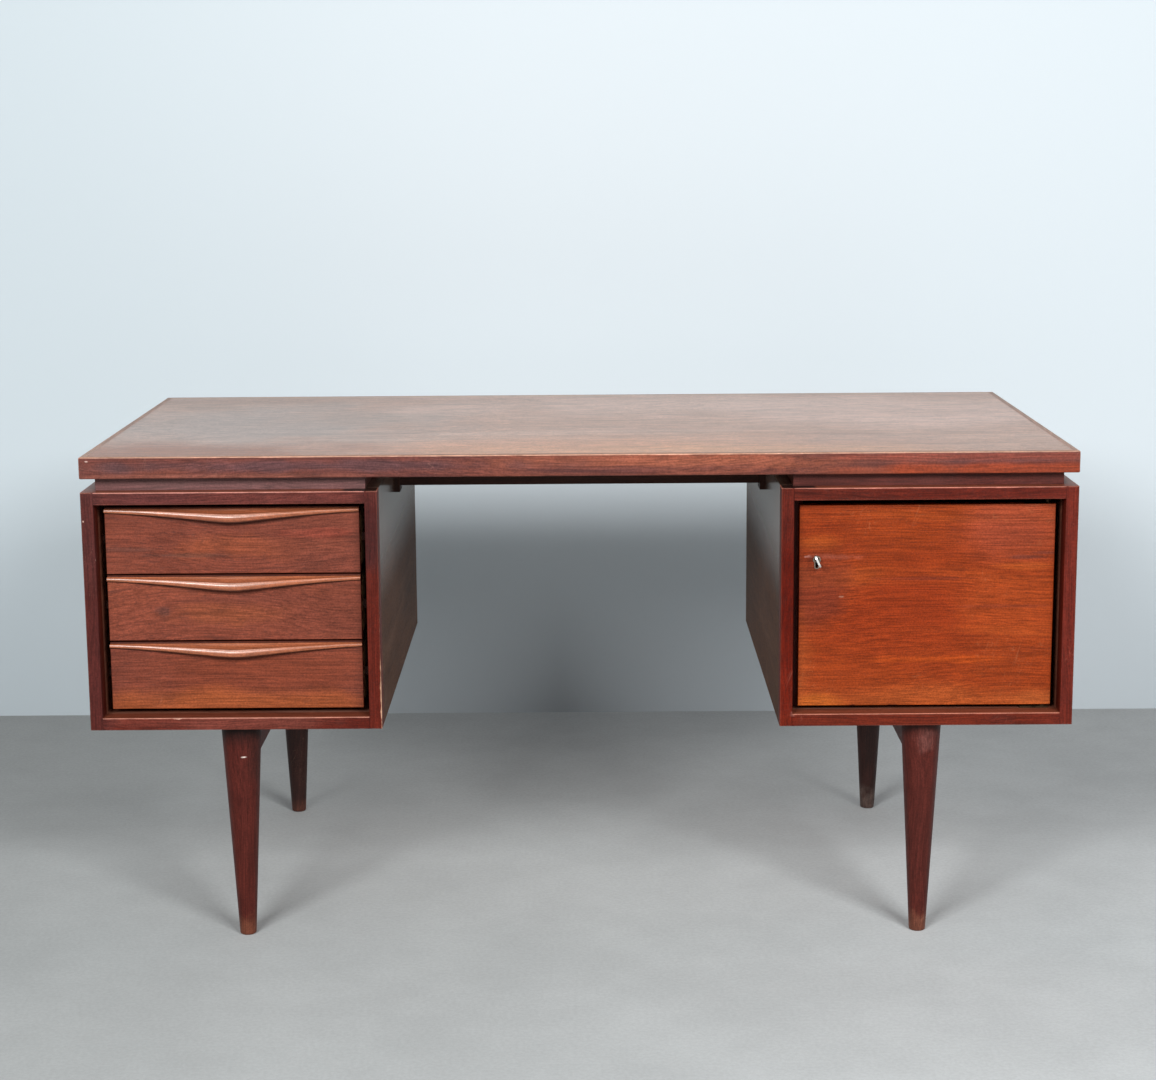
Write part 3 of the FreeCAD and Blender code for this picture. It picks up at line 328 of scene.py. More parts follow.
def makeDustGroup(look):
    inputs = [("Vector", "Vector", None), ("Amount", "Float", 0.2)]
    tree, given, out = newGroup("dust", inputs, [("Mask", "Float")])
    upward = splitVector(tree, surfaceNormal(tree))["Z"]
    facing = spread(tree, upward, *look["upward"], look["elsewhere"], 1.0)
    specks = product(tree, pattern(tree, given["Vector"], **look["specks"]), look["speckShare"])
    cover = calc(tree, "ADD", pattern(tree, given["Vector"], **look["clouds"]), specks)
    amount = product(tree, cover, facing, given["Amount"])
    plug(tree, out["Mask"], calc(tree, "MINIMUM", amount, 1.0))
    return tree


# Thin straight scratches in two directions
scratchLook = {
    "runs": [{"often": (6, 210, 210), "turn": 0.12}, {"often": (190, 9, 9), "turn": -0.3}],
    "thinness": 0.012,
    "gate": {"scale": 11, "detail": 2, "limits": (0.56, 0.66)},  # where there are any
}


def makeScratchGroup(look):
    inputs = [("Vector", "Vector", None), ("Amount", "Float", 0.5)]
    tree, given, out = newGroup("scratches", inputs, [("Mask", "Float")])
    gate = pattern(tree, given["Vector"], **look["gate"])
    runs = []
    for run in look["runs"]:
        place = turned(tree, given["Vector"], (0, run["turn"], run["turn"]))
        lines = apart(tree, noise(tree, place, often=run["often"], detail=0), 0.5)
        runs.append(product(tree, spread(tree, lines, look["thinness"], 0.0), gate))
    found = calc(tree, "MAXIMUM", *runs)
    plug(tree, out["Mask"], calc(tree, "MULTIPLY", found, given["Amount"], clamp=True))
    return tree


# How far the lip handles reach down and the painted shadow below them fades, at the ends and in the middle
lipSwell = {
    "round": 0.1,
    "power": 1.35,
    "end": 0.0056,
    "middle": 0.0195,
    "fadeEnd": 0.003,
    "fadeMiddle": 0.008,
}


# Painted shadow on a drawer front just below its lip handle, which swells to a peak in the middle
def makeLipGroup(swell):
    inputs = [
        ("Vector", "Vector", None),
        ("Middle", "Float", 0.0),
        ("Half Width", "Float", 0.18),
        ("Top", "Float", 0.0),
    ]
    tree, given, out = newGroup("lipPaintedShadow", inputs, [("Mask", "Float")])
    x, y, z = splitVector(tree, given["Vector"])
    share = calc(tree, "DIVIDE", calc(tree, "SUBTRACT", x, given["Middle"]), given["Half Width"])
    rise = calc(tree, "SQRT", calc(tree, "MULTIPLY_ADD", share, share, swell["round"] ** 2))
    rise = calc(tree, "SUBTRACT", rise, swell["round"])
    most = math.hypot(1, swell["round"]) - swell["round"]
    peak = calc(tree, "SUBTRACT", 1.0, calc(tree, "DIVIDE", rise, most), clamp=True)
    peak = calc(tree, "POWER", peak, swell["power"])
    drop = calc(tree, "MULTIPLY_ADD", peak, swell["middle"] - swell["end"], swell["end"])
    fade = calc(tree, "MULTIPLY_ADD", peak, swell["fadeMiddle"] - swell["fadeEnd"], swell["fadeEnd"])
    below = calc(tree, "SUBTRACT", calc(tree, "SUBTRACT", given["Top"], drop), z)
    plug(tree, out["Mask"], spread(tree, calc(tree, "DIVIDE", below, fade), 1.0, 0.0))
    return tree


groups = {
    "lip": makeLipGroup(lipSwell),
    "grain": makeGrainGroup(grainFigure),
    "patch": makePatchGroup(),
    "edge": makeEdgeGroup(edgeWearAndHighlight),
    "dust": makeDustGroup(dustLook),
    "scratch": makeScratchGroup(scratchLook),
}
print("node groups made")


# Wood finishes. figure, streaks and pores say how strong these are, gloss is the specular level,
# edge the bare wood of worn edges and the painted highlight on edges that look up, polish where a coat begins
# and is full, and its most
wood = {
    "topVeneer": {
        "base": (0.73, 0.455, 0.34), "dark": (0.56, 0.315, 0.215),
        "light": (0.83, 0.56, 0.44), "streak": (0.26, 0.12, 0.072),
        "figure": 1.0, "streaks": 0.6, "pores": 0.75, "rough": 0.42, "coat": 0.25, "gloss": 0.4, "dust": 0.08,
        "edge": (0.5, 0.25, 0.18), "edgeCover": 0.3, "scratches": 0.2,
    },
    "topCrown": {
        "base": (0.54, 0.3, 0.205), "dark": (0.41, 0.215, 0.14),
        "light": (0.66, 0.42, 0.31), "streak": (0.22, 0.105, 0.065),
        "figure": 0.9, "streaks": 0.5, "pores": 0.6,
    },
    "topEdge": {
        "base": (0.15, 0.042, 0.03), "dark": (0.095, 0.034, 0.032),
        "light": (0.25, 0.066, 0.032), "streak": (0.06, 0.018, 0.018),
        "figure": 1.0, "streaks": 0.55, "pores": 0.5, "rough": 0.4, "gloss": 0.18,
        "edge": (0.66, 0.33, 0.24), "edgeCover": 0.95, "scratches": 0.15,
    },
    "caseVeneer": {
        "base": (0.21, 0.068, 0.038), "dark": (0.15, 0.047, 0.028),
        "light": (0.28, 0.095, 0.05), "streak": (0.075, 0.025, 0.018),
        "figure": 0.8, "streaks": 0.5, "pores": 0.5, "rough": 0.46, "coat": 0.06, "gloss": 0.35, "dust": 0.05,
        "edge": (0.5, 0.24, 0.16), "edgeCover": 0.45, "scratches": 0.2,
    },
    "innerVeneer": {
        "base": (0.11, 0.054, 0.033), "dark": (0.08, 0.039, 0.024),
        "light": (0.15, 0.08, 0.052), "streak": (0.04, 0.02, 0.013),
        "figure": 0.7, "streaks": 0.5, "pores": 0.8, "rough": 0.52, "gloss": 0.05, "dust": 0.05,
        "edge": (0.42, 0.27, 0.19), "edgeCover": 0.4, "scratches": 0.3,
        "polish": (0.475, 0.615, 1.0), "coatRough": 0.18,
    },
    "caseEdge": {
        "base": (0.13, 0.015, 0.007), "dark": (0.075, 0.009, 0.005),
        "light": (0.19, 0.028, 0.012), "streak": (0.04, 0.007, 0.005),
        "figure": 1.0, "streaks": 0.5, "pores": 0.55, "rough": 0.38, "gloss": 0.11,
        "edge": (0.6, 0.24, 0.17), "edgeCover": 0.9, "scratches": 0.1, "edgeWide": 0.0024,
    },
    "caseCrown": {
        "base": (0.225, 0.06, 0.03), "dark": (0.16, 0.042, 0.022),
        "light": (0.3, 0.085, 0.045), "streak": (0.07, 0.02, 0.014),
        "figure": 0.8, "streaks": 0.4, "pores": 0.5,
    },
    "leftSpacerWood": {
        "base": (0.17, 0.072, 0.068), "dark": (0.125, 0.05, 0.048),
        "light": (0.22, 0.095, 0.088), "streak": (0.07, 0.028, 0.025),
        "figure": 0.6, "streaks": 0.3, "pores": 0.5, "rough": 0.48, "gloss": 0.3, "dust": 0.1,
        "edge": (0.36, 0.15, 0.12), "edgeCover": 0.4, "scratches": 0.1,
    },
    "rightSpacerWood": {
        "base": (0.095, 0.021, 0.016), "dark": (0.07, 0.015, 0.011),
        "light": (0.14, 0.032, 0.022), "streak": (0.035, 0.009, 0.008),
        "figure": 0.6, "streaks": 0.3, "pores": 0.5, "rough": 0.48, "gloss": 0.15, "dust": 0.06,
        "edge": (0.3, 0.12, 0.09), "edgeCover": 0.4, "scratches": 0.1,
    },
    "drawerVeneer": {
        "base": (0.235, 0.058, 0.031), "dark": (0.165, 0.041, 0.025),
        "light": (0.33, 0.088, 0.04), "streak": (0.07, 0.025, 0.02),
        "figure": 0.9, "streaks": 0.6, "pores": 0.55, "rough": 0.42, "gloss": 0.12,
        "edge": (0.5, 0.2, 0.12), "edgeCover": 0.3, "scratches": 0.15,
    },
    "handleWood": {
        "base": (0.36, 0.108, 0.046), "dark": (0.28, 0.078, 0.034),
        "light": (0.46, 0.16, 0.075), "streak": (0.16, 0.048, 0.028),
        "figure": 0.5, "streaks": 0.3, "pores": 0.3, "rough": 0.32, "coat": 0.5, "gloss": 0.4,
        "edge": (0.55, 0.25, 0.16), "edgeCover": 0.3, "scratches": 0.1,
    },
    "handleNose": {
        "base": (0.56, 0.29, 0.215), "dark": (0.46, 0.22, 0.155),
        "light": (0.66, 0.38, 0.3), "streak": (0.26, 0.11, 0.07),
        "figure": 0.5, "streaks": 0.3, "pores": 0.3,
    },
    "doorVeneer": {
        "base": (0.275, 0.041, 0.007), "dark": (0.2, 0.026, 0.005),
        "light": (0.385, 0.075, 0.013), "streak": (0.085, 0.015, 0.008),
        "figure": 0.7, "streaks": 0.3, "pores": 0.4, "rough": 0.38, "gloss": 0.1,
        "edge": (0.55, 0.19, 0.08), "edgeCover": 0.3, "scratches": 0.2,
    },
    "legWood": {
        "base": (0.086, 0.016, 0.011), "dark": (0.064, 0.01, 0.007),
        "light": (0.115, 0.022, 0.015), "streak": (0.033, 0.006, 0.004),
        "figure": 0.5, "streaks": 0.2, "pores": 0.35, "rough": 0.42, "gloss": 0.14,
        "edge": (0.36, 0.16, 0.11), "edgeCover": 0.45, "scratches": 0.25,
    },
    "rearLegWood": {
        "base": (0.034, 0.01, 0.007), "dark": (0.028, 0.008, 0.006),
        "light": (0.06, 0.019, 0.014), "streak": (0.015, 0.005, 0.004),
        "figure": 0.5, "streaks": 0.2, "pores": 0.35, "rough": 0.46, "gloss": 0.25, "dust": 0.03,
        "edge": (0.26, 0.14, 0.1), "edgeCover": 0.5, "scratches": 0.3,
    },
    "railWood": {
        "base": (0.04, 0.013, 0.008), "dark": (0.029, 0.01, 0.006),
        "light": (0.058, 0.02, 0.013), "streak": (0.02, 0.009, 0.007),
        "figure": 0.6, "streaks": 0.4, "pores": 0.6, "rough": 0.55, "gloss": 0.12, "dust": 0.03,
        "edge": (0.2, 0.1, 0.07), "edgeCover": 0.3, "scratches": 0.1,
    },
    "backVeneer": {
        "base": (0.27, 0.115, 0.066), "dark": (0.2, 0.08, 0.046),
        "light": (0.35, 0.155, 0.092), "streak": (0.1, 0.04, 0.026),
        "figure": 0.9, "streaks": 0.5, "pores": 0.5, "rough": 0.55, "gloss": 0.35, "dust": 0.06,
        "edge": (0.5, 0.28, 0.18), "edgeCover": 0.4, "scratches": 0.2,
    },
    "drawerBoxWood": {
        "base": (0.56, 0.37, 0.21), "dark": (0.47, 0.29, 0.155),
        "light": (0.65, 0.46, 0.28), "streak": (0.3, 0.165, 0.09),
        "figure": 0.5, "streaks": 0.25, "pores": 0.35, "rough": 0.55, "gloss": 0.35, "dust": 0.05,
        "edge": (0.66, 0.48, 0.31), "edgeCover": 0.4, "scratches": 0.15,
    },
    "plywood": {
        "base": (0.58, 0.39, 0.22), "dark": (0.5, 0.32, 0.17),
        "light": (0.66, 0.47, 0.29), "streak": (0.36, 0.21, 0.11),
        "figure": 0.9, "streaks": 0.2, "pores": 0.3, "rough": 0.6, "gloss": 0.35, "dust": 0.08,
        "edge": (0.66, 0.48, 0.31), "edgeCover": 0.3, "scratches": 0.2,
    },
    "runnerWood": {
        "base": (0.12, 0.036, 0.022), "dark": (0.09, 0.026, 0.016),
        "light": (0.17, 0.055, 0.034), "streak": (0.045, 0.014, 0.01),
        "figure": 0.5, "streaks": 0.3, "pores": 0.5, "rough": 0.5, "gloss": 0.3, "dust": 0.03,
        "edge": (0.3, 0.18, 0.11), "edgeCover": 0.3, "scratches": 0.2,
    },
}

# The planes that most blots lie on
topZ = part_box("desktop_panel")[1].z
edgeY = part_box("desktop_front_lipping")[0].y  # the pedestals' lippings too
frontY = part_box("door_panel")[0].y  # the drawer fronts too

# Blots of colour: centre, reach, ragged, grit, colour, strength
patches = {
    "desktop_panel": [
        # The first blot, greyer, in the left half, is painted sheen
        ((-0.5, -0.02, topZ), (0.38, 0.34, 0.1), 0.5, 7, (0.5, 0.385, 0.335), 0.85),
        ((0.05, -0.31, topZ), (0.6, 0.2, 0.1), 0.35, 5, (0.76, 0.34, 0.165), 0.8),
        ((0.36, -0.3, topZ), (0.26, 0.18, 0.1), 0.5, 9, (0.48, 0.27, 0.195), 0.5),
        ((-0.56, -0.34, topZ), (0.44, 0.19, 0.1), 0.5, 8, (0.33, 0.1, 0.03), 0.9),
        ((-0.62, 0.3, topZ), (0.34, 0.14, 0.1), 0.6, 8, (0.42, 0.235, 0.155), 0.7),
        ((-0.36, 0.05, topZ), (0.16, 0.14, 0.1), 0.8, 9, (0.46, 0.28, 0.2), 0.4),
        ((0.2, -0.335, topZ), (0.46, 0.11, 0.1), 0.5, 6, (0.8, 0.4, 0.2), 0.6),
        ((0.52, 0.1, topZ), (0.4, 0.3, 0.1), 0.5, 6, (0.92, 0.62, 0.51), 0.75),
        ((0.1, 0.22, topZ), (0.55, 0.2, 0.1), 0.6, 6, (0.88, 0.6, 0.49), 0.75),
    ],
    "desktop_front_lipping": [
        ((-0.689, edgeY, 0.709), (0.003, 0.01, 0.0016), 0.5, 300, (0.6, 0.42, 0.36), 0.8),
        ((0.62, edgeY, 0.69), (0.34, 0.02, 0.013), 0.6, 14, (0.26, 0.04, 0.012), 0.85),
        ((0.56, edgeY, 0.708), (0.34, 0.02, 0.008), 0.6, 14, (0.28, 0.06, 0.035), 0.6),
        ((0.1, edgeY, 0.705), (0.28, 0.02, 0.016), 0.5, 14, (0.36, 0.105, 0.055), 0.6),
        ((-0.36, edgeY, 0.701), (0.4, 0.02, 0.012), 0.7, 16, (0.095, 0.045, 0.05), 0.7),
        ((-0.66, edgeY, 0.7), (0.05, 0.02, 0.012), 0.7, 16, (0.085, 0.042, 0.045), 0.6),
        ((-0.5, edgeY, 0.687), (0.3, 0.02, 0.005), 0.6, 20, (0.26, 0.085, 0.055), 0.5),
        ((0.1, edgeY, 0.694), (0.24, 0.02, 0.006), 0.9, 12, (0.12, 0.038, 0.032), 0.45),
        # A pale line along the upper front edge: partly worn wood, partly painted highlight
        ((0.0, edgeY, 0.7146), (1.6, 0.004, 0.002), 0.3, 30, (0.8, 0.45, 0.32), 0.95),
    ],
    "lower_drawer_front": [
        ((-0.45, frontY, 0.4), (0.26, 0.03, 0.06), 0.5, 9, (0.205, 0.043, 0.018), 0.6),
        ((-0.49, frontY, 0.349), (0.34, 0.03, 0.036), 0.6, 9, (0.37, 0.09, 0.024), 0.65),
        ((-0.492, frontY, 0.4429), (0.6, 0.01, 0.0014), 0.4, 30, (0.05, 0.012, 0.008), 0.85),
    ],
    "upper_drawer_front": [
        ((-0.555, frontY, 0.5705), (0.085, 0.03, 0.0045), 0.5, 30, (0.085, 0.042, 0.034), 0.7),
        ((-0.635, frontY, 0.579), (0.06, 0.03, 0.005), 0.5, 30, (0.12, 0.048, 0.036), 0.5),
        ((-0.465, frontY, 0.583), (0.15, 0.03, 0.022), 0.8, 20, (0.31, 0.075, 0.028), 0.45),
        ((-0.34, frontY, 0.59), (0.13, 0.03, 0.08), 0.5, 14, (0.165, 0.043, 0.027), 0.75),
        ((-0.37, frontY, 0.601), (0.08, 0.03, 0.01), 0.8, 30, (0.29, 0.05, 0.03), 0.35),
    ],
    "middle_drawer_front": [
        ((-0.594, frontY, 0.488), (0.016, 0.03, 0.01), 0.7, 60, (0.085, 0.035, 0.03), 0.7),
        ((-0.475, frontY, 0.486), (0.13, 0.03, 0.022), 0.8, 20, (0.31, 0.082, 0.03), 0.45),
        ((-0.492, frontY, 0.5399), (0.6, 0.01, 0.0014), 0.4, 30, (0.05, 0.012, 0.008), 0.85),
        ((-0.46, frontY, 0.508), (0.12, 0.03, 0.01), 0.6, 20, (0.15, 0.042, 0.03), 0.45),
        ((-0.35, frontY, 0.49), (0.13, 0.03, 0.07), 0.5, 14, (0.16, 0.04, 0.024), 0.8),
    ],
    "door_panel": [
        ((0.49, frontY, 0.345), (0.34, 0.03, 0.04), 0.5, 9, (0.42, 0.09, 0.02), 0.65),
        ((0.325, frontY, 0.345), (0.06, 0.03, 0.022), 0.6, 16, (0.48, 0.12, 0.016), 0.55),
        ((0.655, frontY, 0.348), (0.07, 0.03, 0.022), 0.6, 16, (0.42, 0.1, 0.024), 0.5),
        ((0.35, frontY, 0.615), (0.1, 0.03, 0.04), 0.6, 12, (0.225, 0.028, 0.005), 0.55),
        ((0.47, frontY, 0.48), (0.18, 0.03, 0.11), 0.6, 9, (0.24, 0.027, 0.005), 0.65),
        ((0.62, frontY, 0.49), (0.12, 0.03, 0.07), 0.5, 10, (0.36, 0.058, 0.011), 0.55),
        ((0.31, frontY, 0.4), (0.03, 0.03, 0.12), 0.6, 14, (0.4, 0.085, 0.02), 0.4),
        ((0.632, frontY, 0.56), (0.045, 0.03, 0.0045), 0.6, 30, (0.085, 0.022, 0.015), 0.8),
        ((0.66, frontY, 0.566), (0.03, 0.03, 0.0035), 0.6, 30, (0.085, 0.022, 0.015), 0.7),
        ((0.63, frontY, 0.547), (0.06, 0.03, 0.008), 0.6, 20, (0.42, 0.08, 0.012), 0.55),
        ((0.52, frontY, 0.412), (0.13, 0.03, 0.008), 0.6, 20, (0.42, 0.065, 0.008), 0.55),
        ((0.335, frontY, 0.582), (0.04, 0.03, 0.016), 0.7, 20, (0.38, 0.08, 0.012), 0.4),
        ((0.62, frontY, 0.6), (0.12, 0.03, 0.07), 0.5, 10, (0.33, 0.066, 0.034), 0.5),
        ((0.497, frontY, 0.53), (0.1, 0.03, 0.004), 0.5, 30, (0.14, 0.026, 0.015), 0.45),
        ((0.6, frontY, 0.489), (0.1, 0.03, 0.004), 0.5, 30, (0.15, 0.028, 0.015), 0.4),
        ((0.324, frontY, 0.5625), (0.008, 0.01, 0.0022), 1.2, 240, (0.6, 0.32, 0.27), 0.5),
        ((0.371, frontY, 0.504), (0.005, 0.01, 0.0018), 0.8, 300, (0.6, 0.3, 0.2), 0.6),
        ((0.352, frontY, 0.562), (0.05, 0.03, 0.006), 0.8, 60, (0.42, 0.12, 0.075), 0.4),
        ((0.335, frontY, 0.52), (0.07, 0.03, 0.07), 0.6, 20, (0.155, 0.027, 0.013), 0.7),
        ((0.389, frontY, 0.3452), (0.006, 0.01, 0.0022), 0.6, 200, (0.05, 0.012, 0.008), 0.8),
        ((0.4475, frontY, 0.345), (0.013, 0.01, 0.0018), 0.8, 200, (0.05, 0.012, 0.008), 0.8),
    ],
    # The dark blot at the top of each front leg is painted shadow under the pedestal; on the left leg the
    # next one is painted shade down its right side
    "front_left_leg": [
        ((-0.492, -0.304, 0.326), (0.2, 0.2, 0.046), 0.2, 20, (0.014, 0.005, 0.004), 0.95),
        ((-0.472, -0.31, 0.275), (0.016, 0.05, 0.06), 0.3, 20, (0.04, 0.012, 0.009), 0.6),
        ((-0.486, -0.333, 0.2745), (0.006, 0.01, 0.0017), 0.3, 200, (0.75, 0.62, 0.55), 0.95),
        ((-0.492, -0.304, 0.0), (0.05, 0.05, 0.04), 0.6, 50, (0.2, 0.07, 0.038), 0.6),
    ],
    # the dark blot at the top is painted shadow under the pedestal
    "front_right_leg": [
        ((0.492, -0.304, 0.326), (0.2, 0.2, 0.034), 0.2, 20, (0.03, 0.009, 0.007), 0.75),
        ((0.494, -0.333, 0.293), (0.024, 0.03, 0.02), 0.8, 60, (0.17, 0.065, 0.055), 0.5),
        ((0.492, -0.304, 0.13), (0.2, 0.2, 0.1), 0.3, 20, (0.07, 0.014, 0.01), 0.6),
        ((0.492, -0.304, 0.0), (0.05, 0.05, 0.04), 0.6, 50, (0.2, 0.075, 0.044), 0.6),
    ],
    "rear_left_leg": [
        ((-0.492, 0.304, 0.0), (0.05, 0.05, 0.03), 0.5, 40, (0.15, 0.05, 0.03), 0.6),
    ],
    "rear_right_leg": [
        ((0.492, 0.304, 0.0), (0.05, 0.05, 0.06), 0.9, 60, (0.13, 0.09, 0.075), 0.6),
    ],
    # The first blot on each inner side is a painted reflection: greyer and paler towards the top
    "left_inner_side": [
        ((-0.2825, 0.4, 0.7), (0.1, 0.95, 0.18), 0.3, 6, (0.25, 0.2, 0.175), 0.8),
    ],
    # painted reflection, greyer and paler towards the top
    "right_inner_side": [
        ((0.2825, 0.4, 0.7), (0.1, 1.1, 0.18), 0.3, 6, (0.27, 0.22, 0.195), 0.85),
    ],
    "left_front_lippings": [
        ((-0.5, edgeY, 0.332), (0.24, 0.02, 0.02), 0.6, 14, (0.2, 0.056, 0.04), 0.6),
        ((-0.49, edgeY, 0.656), (0.5, 0.02, 0.02), 0.4, 14, (0.12, 0.031, 0.025), 0.9),
        ((-0.692, edgeY, 0.5), (0.04, 0.02, 0.4), 0.3, 14, (0.068, 0.016, 0.014), 0.85),
        ((-0.62, edgeY, 0.657), (0.09, 0.02, 0.02), 0.5, 14, (0.092, 0.027, 0.026), 0.5),
        ((-0.692, edgeY, 0.6), (0.035, 0.02, 0.1), 0.6, 14, (0.075, 0.022, 0.02), 0.5),
        ((-0.292, edgeY, 0.45), (0.04, 0.02, 0.3), 0.3, 14, (0.09, 0.011, 0.006), 0.7),
        ((-0.292, edgeY, 0.6), (0.035, 0.02, 0.1), 0.5, 14, (0.05, 0.012, 0.011), 0.9),
        ((-0.2838, edgeY, 0.366), (0.0016, 0.006, 0.1), 1.0, 70, (0.72, 0.42, 0.27), 0.9),
        ((-0.681, edgeY, 0.569), (0.0016, 0.006, 0.0022), 0.5, 300, (0.6, 0.4, 0.33), 0.9),
        ((-0.697, edgeY, 0.624), (0.0014, 0.006, 0.0018), 0.5, 300, (0.6, 0.4, 0.33), 0.9),
    ],
    "right_front_lippings": [
        ((0.302, edgeY, 0.338), (0.005, 0.02, 0.005), 0.9, 200, (0.5, 0.3, 0.25), 0.5),
        ((0.45, edgeY, 0.331), (0.4, 0.02, 0.02), 0.5, 14, (0.142, 0.019, 0.007), 0.7),
        ((0.6, edgeY, 0.331), (0.04, 0.02, 0.012), 0.8, 40, (0.06, 0.011, 0.008), 0.5),
        ((0.292, edgeY, 0.4), (0.04, 0.02, 0.14), 0.4, 14, (0.13, 0.008, 0.001), 0.85),
        ((0.691, edgeY, 0.5), (0.04, 0.02, 0.35), 0.4, 14, (0.134, 0.017, 0.01), 0.8),
        ((0.292, edgeY, 0.52), (0.04, 0.02, 0.14), 0.5, 14, (0.086, 0.004, 0.0), 0.85),
        ((0.36, edgeY, 0.657), (0.12, 0.02, 0.02), 0.6, 14, (0.076, 0.011, 0.006), 0.75),
    ],
}

# Painted shadow in the dark corner under the top, beside the kneehole
for side, way in (("left", -1), ("right", 1)):
    patches[f"{side}_inner_side"].append(
        ((way * 0.2925, -0.28, 0.668), (0.05, 0.2, 0.01), 0.2, 20, (0.012, 0.005, 0.004), 0.95))
    patches[f"{side}_top_board"] = [
        ((way * 0.3, -0.26, 0.665), (0.06, 0.14, 0.03), 0.2, 20, (0.012, 0.005, 0.004), 0.95)]

# Pale lines along the front opening's edges, partly worn wood and partly painted highlight, kept off the
# upright lippings
wornHighlightLines = {
    "left_front_lippings": [
        ((-0.49, edgeY, 0.6646), (0.5, 0.004, 0.0019), 0.4, 30, (0.62, 0.27, 0.22), 0.9),
        ((-0.49, edgeY, 0.3384), (0.5, 0.004, 0.0015), 0.5, 40, (0.6, 0.27, 0.2), 0.85),
        ((-0.575, edgeY, 0.3382), (0.01, 0.004, 0.002), 0.8, 200, (0.74, 0.42, 0.32), 0.8),
    ],
    "right_front_lippings": [
        ((0.49, edgeY, 0.6646), (0.5, 0.004, 0.0017), 0.5, 30, (0.62, 0.23, 0.17), 0.85),
        ((0.49, edgeY, 0.3384), (0.5, 0.004, 0.0014), 0.5, 40, (0.55, 0.2, 0.13), 0.8),
    ],
}

grainTurns = {  # turns the pattern so that the grain runs along the named axis
    "x": (0, 0, 0),
    "y": (0, 0, math.radians(90)),
    "z": (0, math.radians(90), 0),
}


def grainColour(tree, place, finish, axis, seed):
    return useGroup(
        tree,
        "grain",
        Vector=turned(tree, place, grainTurns[axis]),
        Seed=seed,
        Base=opaque(finish["base"]),
        Dark=opaque(finish["dark"]),
        Light=opaque(finish["light"]),
        Streak=opaque(finish["streak"]),
        Figure=finish["figure"],
        StreakAmount=finish["streaks"],
        PoreAmount=finish["pores"],
    )


def paintPatches(tree, place, colour, tone, blots, limit=None):
    for centre, reach, ragged, grit, tint, strength in blots:
        mask = useGroup(tree, "patch", Vector=place, Centre=centre, Reach=reach, Ragged=ragged, Grit=grit)[0]
        if limit is not None:
            mask = product(tree, mask, limit)
        colour = mixColour(tree, product(tree, mask, strength), colour, shaded(tree, opaque(tint), tone))
    return colour


coatRoughness = 0.25


def newMaterial(name, rough, metallic=0.0, coat=0.0, coatRough=coatRoughness, specular=0.5):
    material = bpy.data.materials.new(name)
    material.use_nodes = True
    shader = material.node_tree.nodes["Principled BSDF"]
    shader.inputs["Roughness"].default_value = rough
    shader.inputs["Metallic"].default_value = metallic
    shader.inputs["Coat Weight"].default_value = coat
    shader.inputs["Coat Roughness"].default_value = coatRough
    shader.inputs["Specular IOR Level"].default_value = specular
    return material, material.node_tree, shader


# The lines vary the roughness round its base, and each added mask makes it rougher
def plugRoughness(tree, shader, base, vary, lines, *added):
    rough = calc(tree, "ADD", base - vary / 2, product(tree, lines, vary))
    for count, (mask, share) in enumerate(added, 1):
        rough = calc(tree, "ADD", rough, product(tree, mask, share), clamp=count == len(added))
    plug(tree, shader.inputs["Roughness"], rough)


def addBump(tree, shader, height, settings):
    bump = addNode(tree, "ShaderNodeBump")
    bump.inputs["Strength"].default_value = settings["bump"]
    bump.inputs["Distance"].default_value = settings["bumpHeight"]
    plug(tree, bump.inputs["Height"], height)
    plug(tree, shader.inputs["Normal"], bump.outputs[0])
    return bump


# Where the lippings' grain changes direction. Widths are in metres from the joint
lippingJoint = {
    "line": (0.0009, 0.0002),
    "lineShare": 0.6,
    "unworn": (0.0022, 0.0034),
    "seedStep": 7.3,
}

# Paler faces that look up, with painted shadow in the corner beside the spacer
crownLook = {
    "upward": (0.4, 0.8),
    "seedStep": 3.1,
    "outerEnd": (0.336, 0.328),
    "innerEnd": (0.2835, 0.2855),
    "above": 0.6,
    "grime": (0.015, 0.006, 0.005),
}

# The handles' noses: a painted highlight, partly rubbed wood, on faces that look forward and up, duller to
# the right, and painted shade on their underside
noseLook = {
    "direction": (0, -0.866, 0.5),
    "likeness": (0.88, 0.985),
    "depth": (-0.3277, -0.3290),
    "seedStep": 1.9,
    "dull": (0.53, 0.74),  # shares of the handle's length
    "dullTint": (0.86, 0.62, 0.46),
    "dullCoat": 0.10,
    "downward": (-0.45, -0.8),
    "underside": (0.05, 0.014, 0.009),
}

# The painted shadow below the lip handles: its colour and how strong it is
lipPaintedShadow = {"colour": (0.035, 0.008, 0.005), "share": 0.75}

woodSurface = {
    "dustColour": (0.62, 0.56, 0.52),
    "edgeWidth": 0.0016,
    "edgeGrit": 34.0,
    "edgeShare": 0.85,
    "easedEdge": 0.0012,
    "fibreRough": 0.12,
    "dustRough": 0.5,
    "scratchRough": 0.2,
    "scratchDepth": 0.6,
    "bump": 0.35,
    "bumpHeight": 0.0004,
}


# Paints the shadow below the drawer's lip handle
def paintLipShadow(tree, place, colour, drawerFront):
    low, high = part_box(drawerFront.replace("front", "handle"))
    middle, halfWidth = (low.x + high.x) / 2, (high.x - low.x) / 2
    grime = useGroup(tree, "lip", Vector=place, Middle=middle, HalfWidth=halfWidth, Top=high.z)[0]
    return mixColour(tree, product(tree, grime, lipPaintedShadow["share"]), colour, opaque(lipPaintedShadow["colour"]))


